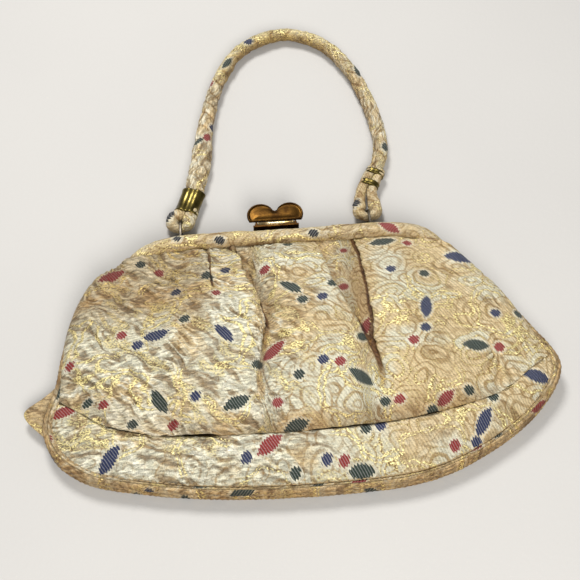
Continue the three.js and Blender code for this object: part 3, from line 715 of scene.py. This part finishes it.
def make_front_panel():
    u, v, U, V = grid(288, 640)
    left, right = Line(PANEL_LEFT).at(v), Line(PANEL_RIGHT).at(v)
    top = Line([PANEL_LEFT[0], *PANEL_TOP[1:-1], PANEL_RIGHT[0]]).at(u)
    points = patch(top, seam.inside(u, -SEAM_LAP), left, right, u, v)
    fx, fy = points[..., 0].copy(), points[..., 1].copy()
    hang = hanging(U)
    points[..., 2] += PANEL_BULGE * crown(U, 0.6) * crown(V, 0.72 + 1.1 * (1 - hang) * smooth(V, 0.3, 0.7))
    from_left, from_right = np.abs(fx - fx[:, :1]), np.abs(fx - fx[:, -1:])
    rolled_side(points, from_left, fy)
    rolled_side(points, from_right, fy)
    inward = np.minimum(from_left, from_right)

    # It hangs over its lower seam in the middle, with small gathers at its top and bottom.
    points[..., 1] -= 1.3 * np.exp(-((V - 0.95) / 0.05) ** 2) * hang
    gathers = NOISE[4](fx / 5.5, fy / 60) + 0.5 * NOISE[5](fx / 2.6, fy / 40)
    points[..., 2] += 1.0 * gathers * smooth(V, 0.70, 0.97) * crown(U, 0.2)
    points[..., 2] += 0.9 * gathers * smooth(V, 0.28, 0.05) * crown(U, 0.3)

    # Slack creases over the left half, slow waves all over, and a fan of creases at the right end.
    lean_x, lean_y = turned(fx, fy, -38)
    soft = smooth(fx, 0, -60) * smooth(inward, 2, 13)
    long_creases = NOISE[9](lean_x / 16, lean_y / 5.5)
    points[..., 2] += soft * (1.1 * long_creases + 0.6 * NOISE[8](lean_x / 9, lean_y / 2.8))
    points[..., 2] += 0.8 * NOISE[10](fx / 14, fy / 11) * crown(U, 0.3) * crown(V, 0.3)
    away, turn = np.hypot(fx - FAN[0], fy - FAN[1]), np.arctan2(fy - FAN[1], fx - FAN[0])
    spread = (np.exp(-(away / 17) ** 2) * smooth(away, 1, 5)
              * smooth(turn, -0.6, -1.1) * smooth(turn, -3.1, -2.5))
    points[..., 2] += 1.1 * np.cos(FAN_CREASES * turn) * spread

    # It passes over the frame's arms near the hinges.
    arms = Line([(x, y, 0) for x, y in FRAME_PATH]).dense[::3]
    reach = np.min([np.hypot(fx - ax, fy - ay) for ax, ay, _ in arms if ay < 16], axis=0)
    over = FRONT_BAR_Z + ARM_COVER - 0.11 * reach ** 2
    lift = np.maximum(over - points[..., 2], -6) * smooth(U, 0, 0.012) * smooth(U, 1, 0.988)
    raised = np.where(lift > -6, np.log1p(np.exp(lift / 0.8)) * 0.8, 0)
    points[..., 2] += raised * smooth(U, 0, 0.02) * smooth(U, 1, 0.98)

    points, deep = folded(points, V)
    # Painted shade: along the top edge under the sleeve, above the lower seam where the panel hangs over, in
    # the fan's creases, over the slack creases at the lower left, and across the upper left.
    slack = smooth(V, 0.72, 0.9) * smooth(fx, -20, -60) * (1 + long_creases)
    for shade in (0.8 * smooth(V, 0.03, 0.0), 0.5 * smooth(V, 0.86, 1.0) * hang,
                  0.3 * spread * (1 - np.cos(FAN_CREASES * turn)), 0.22 * slack,
                  0.5 * smooth(fx, -22, -55) * smooth(fy, -48, -12)):
        deep = np.maximum(deep, shade)
    plain = smooth(fx + 12 * NOISE[10](fx / 30, fy / 30), 35, -40)
    # The pattern jumps sideways where cloth is hidden in the two deepest folds.
    shift = 9 * np.tanh((fx + 17) / 3) + 9 * np.tanh((fx - 30) / 3)
    attributes, relief = brocade(fx + shift, fy, PANEL_MOTIFS, 3, points[..., 0], points[..., 1],
                                 lean=-42, plain=plain, deep=np.clip(deep, 0, 1))
    fade = smooth(V, 0, 0.03) * smooth(V, 1, 0.985) * smooth(inward, 0, 5)
    points += (relief * fade)[..., None] * normals(points)
    piece = cloth_shell("cloth_front_panel", points, attributes, CLOTH, PANEL_CLOTH)
    declare(piece, "brocade", None, "front_panel_upper", "front_panel_lower")
    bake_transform(piece)


def leaf(colour, x, y, turn, size=1.0):
    return ("leaf", colour, x, y, turn, size)


def dot(colour, x, y, size=1.0):
    return ("dot", colour, x, y, 20, size)


PANEL_MOTIFS = [
    *(leaf(RED, *p) for p in [(-91, 3, 24, 1.05), (-12, -53, 38), (34, -40, 70, 0.8), (67, -81, 40, 0.85)]),
    *(leaf(NAVY, *p) for p in [
        (87, 0, -16, 1.05), (64, -34, 78), (-68, -38, 4, 0.95), (-35, -43, -52, 0.95)]),
    *(leaf(GREEN, *p) for p in [
        (-1, -18, -42, 0.95), (49, 13, 10, 1.05), (86, -54, 2), (28, -70, -36), (-67, -73, -60),
        (-31, -78, 22), (-4, -90, 15, 0.9)]),
    *(dot(RED, *p) for p in [
        (-67, 3), (-38, -18, 0.85), (-13, -3), (26, -14), (29, 12, 0.8), (62, 12, 0.9), (55, -53), (98, -54),
        (-85, -35), (19, -62), (-111, -46), (-12, -79), (-94, -70), (-61, -85), (45, -81)]),
    *(dot(NAVY, *p) for p in [
        (-33, 1), (-58, -13), (14, -25), (50, -9), (62, -46), (99, -36), (-77, -42), (11, -61), (-50, -73)]),
    *(dot(GREEN, *p) for p in [
        (-76, 8), (-42, -5, 1.2), (0, 16), (4, -27), (20, -16), (67, -11), (-54, -32), (-20, -60), (31, -48),
        (-1, -67), (-102, -67), (-80, -82), (79, -77), (38, -82), (60, -87), (112, -34)]),
]
make_front_panel()

# ---- Band ----
BAND_MOTIFS = [
    leaf(RED, -114, -68, 8, 1.05), leaf(RED, -17, -97, 30), leaf(GREEN, 25, -109, 0, 0.95),
    *(leaf(NAVY, *p) for p in [(-92, -95, 42, 1.05), (85, -90, 55), (115, -67, -10, 1.1)]),
    *(dot(RED, *p) for p in [(17, -105), (70, -100)]),
    *(dot(NAVY, *p) for p in [(35, -92), (-28, -101), (9, -104), (81, -98)]),
    *(dot(GREEN, *p) for p in [(28, -93), (-6, -108), (91, -79)]),
]


def band_surface(u, v, inset, drop=0.0):
    """The crescent between the panel's seam and the bag's edge."""
    top = seam.inside(u, inset)
    top[:, 2] -= drop
    bottom = edge.inside(band_left + BAND_END + (band_right - band_left - 2 * BAND_END) * u, EDGE_INSET)
    left, right = (top[k] + (bottom[k] - top[k]) * v[:, None] for k in (0, -1))
    return patch(top, bottom, left, right, u, v)


def make_front_band():
    u, v, U, V = grid(48, 640)
    points = band_surface(u, v, SEAM_LAP, 0.5)
    x, y = points[..., 0].copy(), points[..., 1].copy()
    hang = hanging(U)
    flatter = 0.9 * (1 - hang) * (V < 0.5)
    points[..., 2] += BAND_BULGE * crown(U, 0.5) * crown(V, 0.7 + flatter) * (1.25 - 0.5 * V)
    points[..., 2] -= 1.1 * smooth(V, 0.12, 0) * hang
    points[..., 2] += 0.5 * NOISE[5](x / 9, y / 14) * crown(V, 0.5)
    # Painted shade in the ditch beside the piping and along the seam where the panel hangs over.
    deep = np.maximum(0.85 * smooth(V, 0.93, 1.0), 0.85 * smooth(V, 0.06, 0.0) * hang)
    plain = smooth(x, 60, -40) * 0.8
    attributes, relief = brocade(x, y - 40, BAND_MOTIFS, 5, x, y, pucker=0.25, lean=-20, plain=plain,
                                 deep=deep)
    attributes["pale"] = np.clip(attributes["pale"] + 0.35, 0, 1)
    points += (relief * smooth(V, 0, 0.06) * smooth(V, 1, 0.94))[..., None] * normals(points)
    piece = cloth_shell("cloth_front_band", points, attributes, CLOTH, PANEL_CLOTH)
    declare(piece, "brocade", "bag", "front_band")


make_front_band()


# ---- Piping ----
def make_piping(side, line, radius, seed):
    shares, angles = np.linspace(0, 1, 1100), circle(20)
    far = shares * line.length
    x, y = np.meshgrid(far, angles * radius, indexing="ij")
    motifs = scatter(seed, (0, edge.length), (0, 12), 26)
    attributes, relief = brocade(x, y, motifs, seed + 10, pucker=0.12, plain=0.6)
    # Darker all round, standing for both the shade along the bag's edge and the piping's darker gold, and
    # painted shade that darkens it further on its outer side.
    attributes["deep"] = 0.42 + 0.25 * np.sin(y / radius)
    wide = radius * (1 + 0.2 * np.exp(-((far - 95) / 40) ** 2))[:, None]
    wrap = 0.1 * np.sin(2 * np.pi * (x / 2.6 + y / (2 * np.pi * radius)))
    points = tube_grid(line, shares, angles, wide + 0.25 * relief + wrap + 0.12 * NOISE[2](x / 6, y))
    piece = tube(f"cloth_{side}_piping", points, attributes, EDGE_CLOTH)
    declare(piece, "brocade", "bag", f"{side}_piping")


back_edge = Line([(x, y, BACK_Z) for x, y, _ in EDGE])
make_piping("front", edge, PIPING_RADII[0], 11)
make_piping("back", back_edge, PIPING_RADII[1], 12)


# ---- Sleeves over the frame's bars ----
def make_sleeve(side, body, z, motifs, seed, slim):
    """slim is the share by which the sleeve is thinner along the bar's arms."""
    line = Line([(x, y, z) for x, y in FRAME_PATH])
    shares, angles = np.linspace(*SLEEVE_ENDS, 520), circle(56)
    far = line.at(shares)[:, 0]
    x, y = wrapped(far, angles, SLEEVE_RADIUS)
    attributes, relief = brocade(x, y, motifs, seed, pucker=0.2, lean=-8, plain=0.35)
    # Painted shade: slight all round and stronger on the sleeve's inner side, toward the panel.
    attributes["deep"] = 0.12 + 0.3 * smooth(np.sin(y / SLEEVE_RADIUS), 0, 1)
    arm = smooth(np.abs(far), 72, 84)[:, None]
    radius = (SLEEVE_RADIUS - 0.3) * (1 - slim * arm) + 0.45 * relief
    radius = radius + 0.25 * NOISE[3](x / 14, y / 2.5) + 0.15 * NOISE[6](x / 5, y / 1.6)
    piece = tube(f"cloth_{side}_sleeve", tube_grid(line, shares, angles, radius), attributes, EDGE_CLOTH)
    declare(piece, "brocade", body, f"{side}_sleeve")


SLEEVE_MOTIFS = [
    dot(DARK, -57, -1.0, 0.9), dot(DARK, -35, 2.6), dot(DARK, 14, 1.6), leaf(RED, 54, 0.6, 30, 0.9),
    *scatter(31, (-90, 90), (9, 14), 30), *scatter(32, (-90, 90), (-14, -7), 30),
]
make_sleeve("front", "front_frame", FRONT_BAR_Z, SLEEVE_MOTIFS, 33, 0.28)
make_sleeve("back", "bag", BACK_BAR_Z, scatter(34, (-90, 90), (-14, 14), 24), 35, 0)


# ---- Back panel and band ----
def make_back(node, points, across, seed, puff):
    """A flat piece of the back, which the bag lies on. across is the range of y that its motifs lie in."""
    points[..., 2] = CLOTH
    motifs = scatter(seed, (-130, 130), across)
    attributes, relief = brocade(points[..., 0].copy(), points[..., 1].copy(), motifs, seed + 1)
    points[..., 2] += puff * relief
    piece = cloth_shell(f"cloth_{node}", points, attributes, CLOTH, PANEL_CLOTH)
    declare(piece, "brocade", "bag", node)


make_back("back_panel", panel_outline(*grid(120, 256)[:2]), (-95, 25), 41, 0.35)
make_back("back_band", band_surface(*grid(24, 256)[:2], -BACK_LAP), (-118, -60), 43, 0.3)


# ---- Gussets ----
CORNERS = [edge.nearest(-110, -95), edge.nearest(112, -82)]
GUSSET_INSET = 2.6
GUSSET_DROP, GUSSET_FOOT = 1.6, 1.8     # its top under the edge line, and its height at the back


def make_gusset(side, start, end, seed):
    """A strip round the bag's side, between shares start and end of its edge."""
    u, v, U, V = grid(24, 4 * round((end - start) * edge.length / 4), start, end)
    far = U * edge.length
    top = edge.inside(u, GUSSET_INSET)
    top[:, 2] -= GUSSET_DROP
    bottom = top.copy()
    bottom[:, 2] = GUSSET_FOOT
    points = top[None] + (bottom - top)[None] * v[:, None, None]
    out = edge.at(u) - edge.inside(u, 1.0)
    bulge = 0.9 * crown(V, 0.6) + 0.35 * NOISE[6](far / 7, V * 2) * crown(V, 0.5)
    points += bulge[..., None] * out[None]
    motifs = scatter(seed, (far.min(), far.max()), (0, 10), 30)
    # Painted shade darkens the whole strip, which lies recessed under the piping.
    attributes, relief = brocade(far, V * 10, motifs, seed, deep=0.4)
    points += (0.4 * relief)[..., None] * out[None]
    piece = cloth_shell(f"cloth_gusset_{side}", points, attributes, GUSSET_CLOTH, EDGE_CLOTH)
    declare(piece, "brocade", "bag", f"gusset_{side}")


make_gusset("left", 0.002, CORNERS[0], 51)
make_gusset("base", CORNERS[0], CORNERS[1], 52)
make_gusset("right", CORNERS[1], 0.998, 53)


def make_gusset_fold():
    """The left gusset's slack, folded out flat to a soft point."""
    u, v, U, V = grid(64, 48)
    root = Line([(-112.5, -45, 7.5), (-116, -60, 6.5), (-119, -80, 6.5)]).at(v)
    rim = Line([(-113.5, -45, 7), (-124, -56, 6.8), (-134.6, -64.5, 6.0), (-126, -76, 5.6),
                (-119.5, -81, 5.5)]).at(v)
    points = root[:, None] + (rim - root)[:, None] * u[None, :, None]
    uneven = 0.3 * NOISE[2](points[..., 0] / 5, points[..., 1] / 5)
    points[..., 2] += 1.0 * crown(U, 0.8) * crown(V, 0.5) + uneven
    points = points[:, ::-1]
    # Painted shade darkens the whole folded flap evenly.
    attributes, relief = brocade(points[..., 0] + 60, points[..., 1], [], 55, plain=0.5, deep=0.35)
    points[..., 2] += 0.4 * relief
    piece = cloth_shell("cloth_gusset_fold", points, attributes, FOLDED_CLOTH, EDGE_CLOTH)
    declare(piece, "brocade", "bag")


make_gusset_fold()


# ---- Handle ----
def beyond(pair, far):
    """The place a distance past the second of two points, on the line through them."""
    (x0, y0), (x1, y1) = pair
    length = math.hypot(x1 - x0, y1 - y0)
    return x1 + (x1 - x0) * far / length, y1 + (y1 - y0) * far / length


def make_handle():
    path = [beyond(FERRULES[0], -1.5), *HANDLE_PATH, beyond(FERRULES[1], -1.5)]
    line = Line([(x, y, HANDLE_Z) for x, y in path])
    shares, angles = np.linspace(0, 1, 900), circle(48)
    far = shares * line.length
    x, y = wrapped(far, angles, HANDLE_RADIUS)
    motifs = [
        leaf(GREEN, 35.5, -3.1, 60, 0.6), dot(RED, 38.5, 2.5), dot(NAVY, 47, 5, 0.9), dot(RED, 79, -3.7, 0.9),
        leaf(GREEN, 97, 0.5, 10, 0.75), dot(NAVY, 119, 0, 1.1), leaf(GREEN, 199, -3.3, 20, 0.85),
        dot(GREEN, 258, -3.3, 1.1), *scatter(61, (0, line.length), (8, 14), 22),
    ]
    attributes, relief = brocade(x, y, motifs, 62, pucker=0.3, lean=28, plain=0.6)
    attributes["gold"] = np.clip(attributes["gold"] + 0.55 * smooth(x, 70, 100) * smooth(x, 195, 165), 0, 1)
    low = np.exp(-((far - 20) / 26) ** 2)[:, None]
    arch = (smooth(far, 70, 105) * smooth(far, 200, 165))[:, None]
    round_it = y / HANDLE_RADIUS
    twist = round_it + 2 * np.pi * x / TWIST_PITCH + 1.2 * NOISE[5](x / 18, y / 9)
    wrinkle = 1 - np.abs(np.sin(twist)) + 0.6 * (1 - np.abs(np.sin(1.6 * twist + x / 6)))
    wide = 1 + 0.42 * low * np.abs(np.sin(round_it)) ** 2
    radius = ((4.15 - 0.35 * arch) * wide - 0.42 * wrinkle * (1 - 0.55 * arch)
              + 0.5 * relief + 0.3 * NOISE[7](x / 7, y / 4))
    radius *= (1 - 0.25 * np.exp(-(far / 3) ** 2) - 0.33 * np.exp(-((far - line.length) / 5) ** 2))[:, None]
    # Painted shade: darker on the handle's inner, lower side, more so along the arch, and in the wrinkles'
    # creases.
    shade = 0.2 + (0.16 + 0.28 * arch) * (0.4 + np.sin(round_it - 0.6))
    attributes["deep"] = np.clip(0.55 * smooth(wrinkle, 0.9, 1.5) + shade, 0, 0.75)
    points = tube_grid(line, shares, angles, radius)
    points[..., 2] = np.maximum(points[..., 2], 0.35)
    piece = tube("cloth_handle", points, attributes, HANDLE_CLOTH)
    declare(piece, "brocade", "carry_handle", "handle_tube")
    return line


def make_core(line):
    """Three twisted strands inside the handle."""
    shares, angles = np.linspace(0.03, 0.97, 360), circle(8)
    centre = tube_grid(line, shares, np.array([0.0]), 0.0)[:, 0]
    right = tube_grid(line, shares, np.array([np.pi / 2]), 1.0)[:, 0] - centre
    vertices, faces = [], []
    for strand in range(3):
        turn = 2 * np.pi * (strand / 3 + shares * line.length / STRAND_PITCH)
        middle = centre + STRAND_OFFSET * (np.cos(turn)[:, None] * right + np.sin(turn)[:, None] * UP)
        ring = np.cos(angles)[None, :, None] * right[:, None] + np.sin(angles)[None, :, None] * UP
        faces += ring_faces(*ring.shape[:2], strand * ring[..., 0].size, backward=True)
        vertices.append((middle[:, None] + STRAND_RADIUS * ring).reshape(-1, 3))
    piece = new_object("cotton_core", np.concatenate(vertices), faces, {}, COTTON)
    declare(piece, "cotton_core", "carry_handle", "handle_core")


make_core(make_handle())


def make_end_loop(side, pair, x):
    """The doubled end of the handle: down through the ferrule, round the link and up again."""
    start, end = (np.array(p) for p in (beyond(pair, 2.5), pair[0]))
    along = np.subtract(*pair[::-1]) / math.dist(*pair)
    aside = np.array([along[1], -along[0]])
    turn = np.radians([20, -15, -50, -90, -130, -165, -200])
    arc = [(x + LOOP_BEND * math.cos(t), LOOP_Y + LOOP_BEND + LOOP_BEND * math.sin(t)) for t in turn]
    route = [start + aside * 2.5, end + aside * 3.0, *arc, end - aside * 3.0, start - aside * 2.5]
    line = Line([(*p, HANDLE_Z) for p in route])
    shares, angles = np.linspace(0, 1, 220), circle(32)
    px, py = wrapped(shares * line.length, angles, 3)
    motifs = [dot(DARK, line.length * 0.62, -2)]
    attributes, relief = brocade(px, py, motifs, 70 + len(side), pucker=0.3, lean=20)
    low = line.at(shares)[:, 1] - LOOP_Y
    puff, pinch = np.exp(-((low - 6.5) / 6) ** 2), np.exp(-(low / 1.2) ** 2)
    fold = 0.3 * NOISE[6](px / 2.5, py / 4)
    # Painted shade where the loop's cloth dips in.
    attributes["deep"] = 0.5 * smooth(fold, 0.0, -0.2)
    radius = (LOOP_RADIUS + 0.95 * puff - 0.6 * pinch)[:, None] + 0.5 * relief - 0.15 + fold
    points = tube_grid(line, shares, angles, radius)
    points[..., 2] = np.maximum(points[..., 2], 0.3)
    piece = tube(f"cloth_loop_{side}", points, attributes, HANDLE_CLOTH)
    declare(piece, "brocade", "carry_handle", f"handle_loop_{side}")


for side, pair, x in zip(("left", "right"), FERRULES, LINK_X):
    make_end_loop(side, pair, x)


# ---- Linings and pocket ----
def make_satin(name, node, points, thickness, **sheet):
    piece = cloth_shell(name, points, {}, thickness, SATIN)
    declare(piece, "satin_lining", None, node)
    return piece


def make_lining():
    u, v, U, V = grid(96, 160, 0.03, 0.97)
    outline = panel_outline(u, v)
    front = outline.copy()
    front[..., 2] += (6 * crown(U, 0.6) * crown(V, 0.72) - 4.2
                      - 1.5 * smooth(V, 0, 0.15) + 1.2 * smooth(V, 0.06, 0))
    front[..., 2] += 0.5 * NOISE[3](outline[..., 0] / 6, outline[..., 1] / 18)
    front = front[:-4]
    piece = make_satin("satin_front", "lining_front", front, LINING, **opened_out(front), held="hung",
                       rests_on=["cloth_front_panel"])
    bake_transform(piece)
    back = outline[4:-4].copy()
    back[..., 2] = BACK_Z + 0.12 * NOISE[3](back[..., 0] / 6, back[..., 1] / 18)
    piece = make_satin("satin_back", "lining_back", back, BACK_LINING, **opened_out(back), held="laid",
                       rests_on=["cloth_back_panel"])
    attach(piece, "bag")
    x, y = np.meshgrid(np.linspace(-43, 33, 77), np.linspace(-26, -70, 45))
    pocket = np.stack([x, y, 3.2 + 0.25 * NOISE[5](x / 12, y / 12)], -1)
    piece = make_satin("satin_pocket", "inner_pocket", pocket, BACK_LINING, flat=(0.076, 0.044), held="laid",
                       rests_on=["satin_back"])
    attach(piece, "bag")


make_lining()

# ---- Clasp tab ----
TAB_CENTRE = (-5, 31.7, 16)
TAB_HALF, TAB_HIGH, LOBE_RADIUS, TAB_FOOT = 15, 13.5, 7.2, 2.3
NOTCH = 0.35             # the angle from a lobe's inner side to the notch between the two
BARREL_HALF = 9.5


def lathe(profile, start, end, sides=40, squeeze=1.0, waist=0.0):
    """Points and faces of a turned piece. profile is its closed outline: shares of the way from start to end,
    and radii. squeeze flattens the piece, and waist draws it in above and below its middle."""
    start, end = np.array(start, float), np.array(end, float)
    along = (end - start) / np.linalg.norm(end - start)
    right = np.cross(along, UP)
    turn = circle(sides)
    rings = []
    for share, radius in profile:
        across = radius * np.cos(turn)
        high = radius * squeeze * np.sin(turn) * (1 - waist * np.exp(-(across / 1.9) ** 2))
        rings.append(start + (end - start) * share + across[:, None] * right + high[:, None] * UP)
    index = np.arange(len(rings) * sides).reshape(-1, sides)
    nxt, after = np.roll(index, -1, axis=0), np.roll(index, -1, axis=1)
    return np.concatenate(rings), np.array(quads(index, after, np.roll(nxt, -1, axis=1), nxt))


def make_tab_plate():
    """Two domed lobes with a rolled rim."""
    lobe, middle = TAB_HALF - LOBE_RADIUS, TAB_HIGH - LOBE_RADIUS
    foot = math.asin((TAB_FOOT - middle) / LOBE_RADIUS)
    turns = np.linspace(foot, math.pi - NOTCH, 60)
    right = np.stack([lobe + LOBE_RADIUS * np.cos(turns), middle + LOBE_RADIUS * np.sin(turns)], -1)
    bottom = np.stack([np.linspace(-right[0, 0], right[0, 0], 30)[1:-1], np.full(28, TAB_FOOT)], -1)
    outline = np.vstack([right, [[0, right[-1, 1] - 0.5]], (right * [-1, 1])[::-1], bottom])
    target = np.stack([np.clip(outline[:, 0], -lobe, lobe), np.full(len(outline), middle - 0.6)], -1)
    profile = [(0, -0.7), (0.0, 0.1), (0.02, 0.55), (0.06, 0.8), (0.12, 0.75), (0.17, 0.42), (0.25, 0.4),
               (0.45, 0.62), (0.7, 0.8), (0.9, 0.86), (0.985, 0.88)]
    rings = np.array([np.column_stack([outline + (target - outline) * share, np.full(len(outline), high)])
                      for share, high in profile]) + TAB_CENTRE
    piece = new_object("tab_plate", rings.reshape(-1, 3), ring_faces(*rings.shape[:2]), {}, TAB_BRASS)
    declare(piece, "antique_brass", "clasp_lift", "clasp_tab")


def make_tab_barrel():
    """The turned barrel at the foot of the plate, with a collar at each end."""
    x, y, z = TAB_CENTRE
    profile = [(0, 0.85), (0, 1.5), (0.01, 1.72), (0.035, 1.72), (0.045, 1.5), (0.3, 1.54), (0.7, 1.54),
               (0.955, 1.5), (0.965, 1.72), (0.99, 1.72), (1, 1.5), (1, 0.85)]
    points, faces = lathe(profile, (x - BARREL_HALF, y, z), (x + BARREL_HALF, y, z))
    # Light brass: a painted highlight along the barrel.
    declare(new_object("tab_barrel", points, faces.tolist(), {}, HIGHLIGHT_BRASS), "antique_brass", "clasp_lift")


def make_tab_hook():
    """The strip that reaches down from the barrel to the catch."""
    x, y, z = TAB_CENTRE
    rows = [(y + 2.3, z - 0.6), (y + 1.7, 10.5), (y + 1.4, 5.6), (y - 0.2, 4.9),
            (y - 0.2, 5.9), (y + 0.3, 6.3), (y + 0.5, 10.5), (y + 1.1, z - 0.6)]
    points = [(px, py, pz) for px in (x - 2.0, x - 1.6, x + 1.6, x + 2.0) for py, pz in rows]
    n = len(rows)
    faces = [[a * n + k, a * n + (k + 1) % n, (a + 1) * n + (k + 1) % n, (a + 1) * n + k]
             for a in range(3) for k in range(n)]
    faces += [list(range(n))[::-1], [3 * n + k for k in range(n)]]
    declare(new_object("tab_hook", points, faces, {}, TAB_BRASS), "antique_brass", "clasp_lift")


make_tab_plate()
make_tab_barrel()
make_tab_hook()


def make_ferrule(side, pair, bands, wide, waist):
    """Flattened bands with rolled ends, gripping the handle over its doubled end."""
    ends = [(*p, HANDLE_Z) for p in pair]
    step = 0.25 / math.dist(*pair)
    vertices, faces = [], []
    for start, end in bands:
        rolled = [(0, -1), (0, 0), (step, 0.38), (4 * step, 0.42), (6 * step, 0.06)]
        profile = [(start + far, more) for far, more in rolled]
        profile += [(end - far, more) for far, more in rolled[::-1]]
        points, made = lathe([(share, wide + more) for share, more in profile], *ends, 72, 0.66, waist)
        faces += (made + sum(len(v) for v in vertices)).tolist()
        vertices.append(points)
    piece = new_object(f"ferrule_bands_{side}", np.concatenate(vertices), faces, {}, OLIVE_BRASS)
    declare(piece, "antique_brass", "carry_handle", f"ferrule_{side}")


make_ferrule("left", FERRULES[0], [(0, 1)], 6.3, 0.22)
make_ferrule("right", FERRULES[1], [(0.16, 0.46), (0.84, 1.12)], 5.1, 0.1)

# ---- Stitches ----
STITCH_PITCH = 3.0
STITCH_INSET = 2.35
# A stitch's rings, as places along it, radii and heights over the edge line.
STITCH = ((-1.05, 0.12, 1.05), (-0.7, 0.3, 1.37), (0.7, 0.3, 1.37), (1.05, 0.12, 1.05))


def make_stitches():
    """Small stitches in the ditch beside the front piping."""
    vertices, faces = [], []
    total, turns = edge.length, circle(6)
    for share in np.arange(band_left * total + 1, band_right * total - 1, STITCH_PITCH) / total:
        middle, along = edge.inside(share, STITCH_INSET), edge.along(share)
        aside = np.array([-along[1], along[0], 0]) / np.hypot(along[0], along[1])
        faces += ring_faces(len(STITCH), len(turns), len(vertices), backward=True)
        for far, radius, high in STITCH:
            centre = middle + along * far + UP * high
            vertices += [centre + radius * (math.cos(t) * aside + math.sin(t) * UP) for t in turns]
    declare(new_object("thread_stitches", vertices, faces, {}, THREAD), "cotton_core", "bag")


make_stitches()

# ---- Metal parts that keep their CAD shape ----
for material, nodes in (
    (BRASS, ("back_rail", "front_rail", "clasp_catch")),
    (TAB_BRASS, ("clasp_bracket",)),
    (STEEL, ("hinge_pin_left", "hinge_pin_right", "handle_staple_left", "handle_staple_right", "link_left",
             "link_right", "clasp_pin", "clasp_spring")),
):
    for node in nodes:
        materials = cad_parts[node].data.materials
        materials.clear()
        materials.append(material)


# ---- Floor and light ----
FLOOR_HALF, FLOOR_Z = 3000, -0.05


def make_floor():
    s = Shader("floor")
    grain = s.noise(s.object_place(), 6.0, 4.0)
    s.finish(Base_Color=s.mix(grain, (0.50, 0.49, 0.475), (0.55, 0.54, 0.52)), Roughness=0.8,
             Normal=s.bump(s.noise(s.object_place(), 400.0, 3.0), 0.0004, 0.3))
    x, y = np.meshgrid(np.linspace(-FLOOR_HALF, FLOOR_HALF, 25), np.linspace(FLOOR_HALF, -FLOOR_HALF, 25))
    points = np.stack([x, y, np.full(x.shape, FLOOR_Z)], -1)
    cloth_shell("floor", points, {}, 5, s.material)


def area_light(name, place, size, power, colour):
    data = bpy.data.lights.new(name, "AREA")
    data.shape = "DISK"
    data.size, data.energy, data.color = size, power, colour
    light = bpy.data.objects.new(name, data)
    light.location = place
    light.rotation_euler = Vector(place).to_track_quat("Z", "Y").to_euler()
    bpy.context.scene.collection.objects.link(light)


make_floor()
area_light("window", (-0.18, 0.66, 0.95), 0.4, 11.5, (1.0, 0.985, 0.96))
area_light("room", (0.1, -0.85, 0.75), 0.6, 11.5, (1.0, 0.98, 0.95))
world = bpy.data.worlds.new("studio")
world.use_nodes = True
sky = world.node_tree.nodes["Background"].inputs
sky["Color"].default_value, sky["Strength"].default_value = (0.97, 0.965, 0.96, 1), 0.3
bpy.context.scene.world = world
bpy.context.scene.view_settings.view_transform = "Standard"
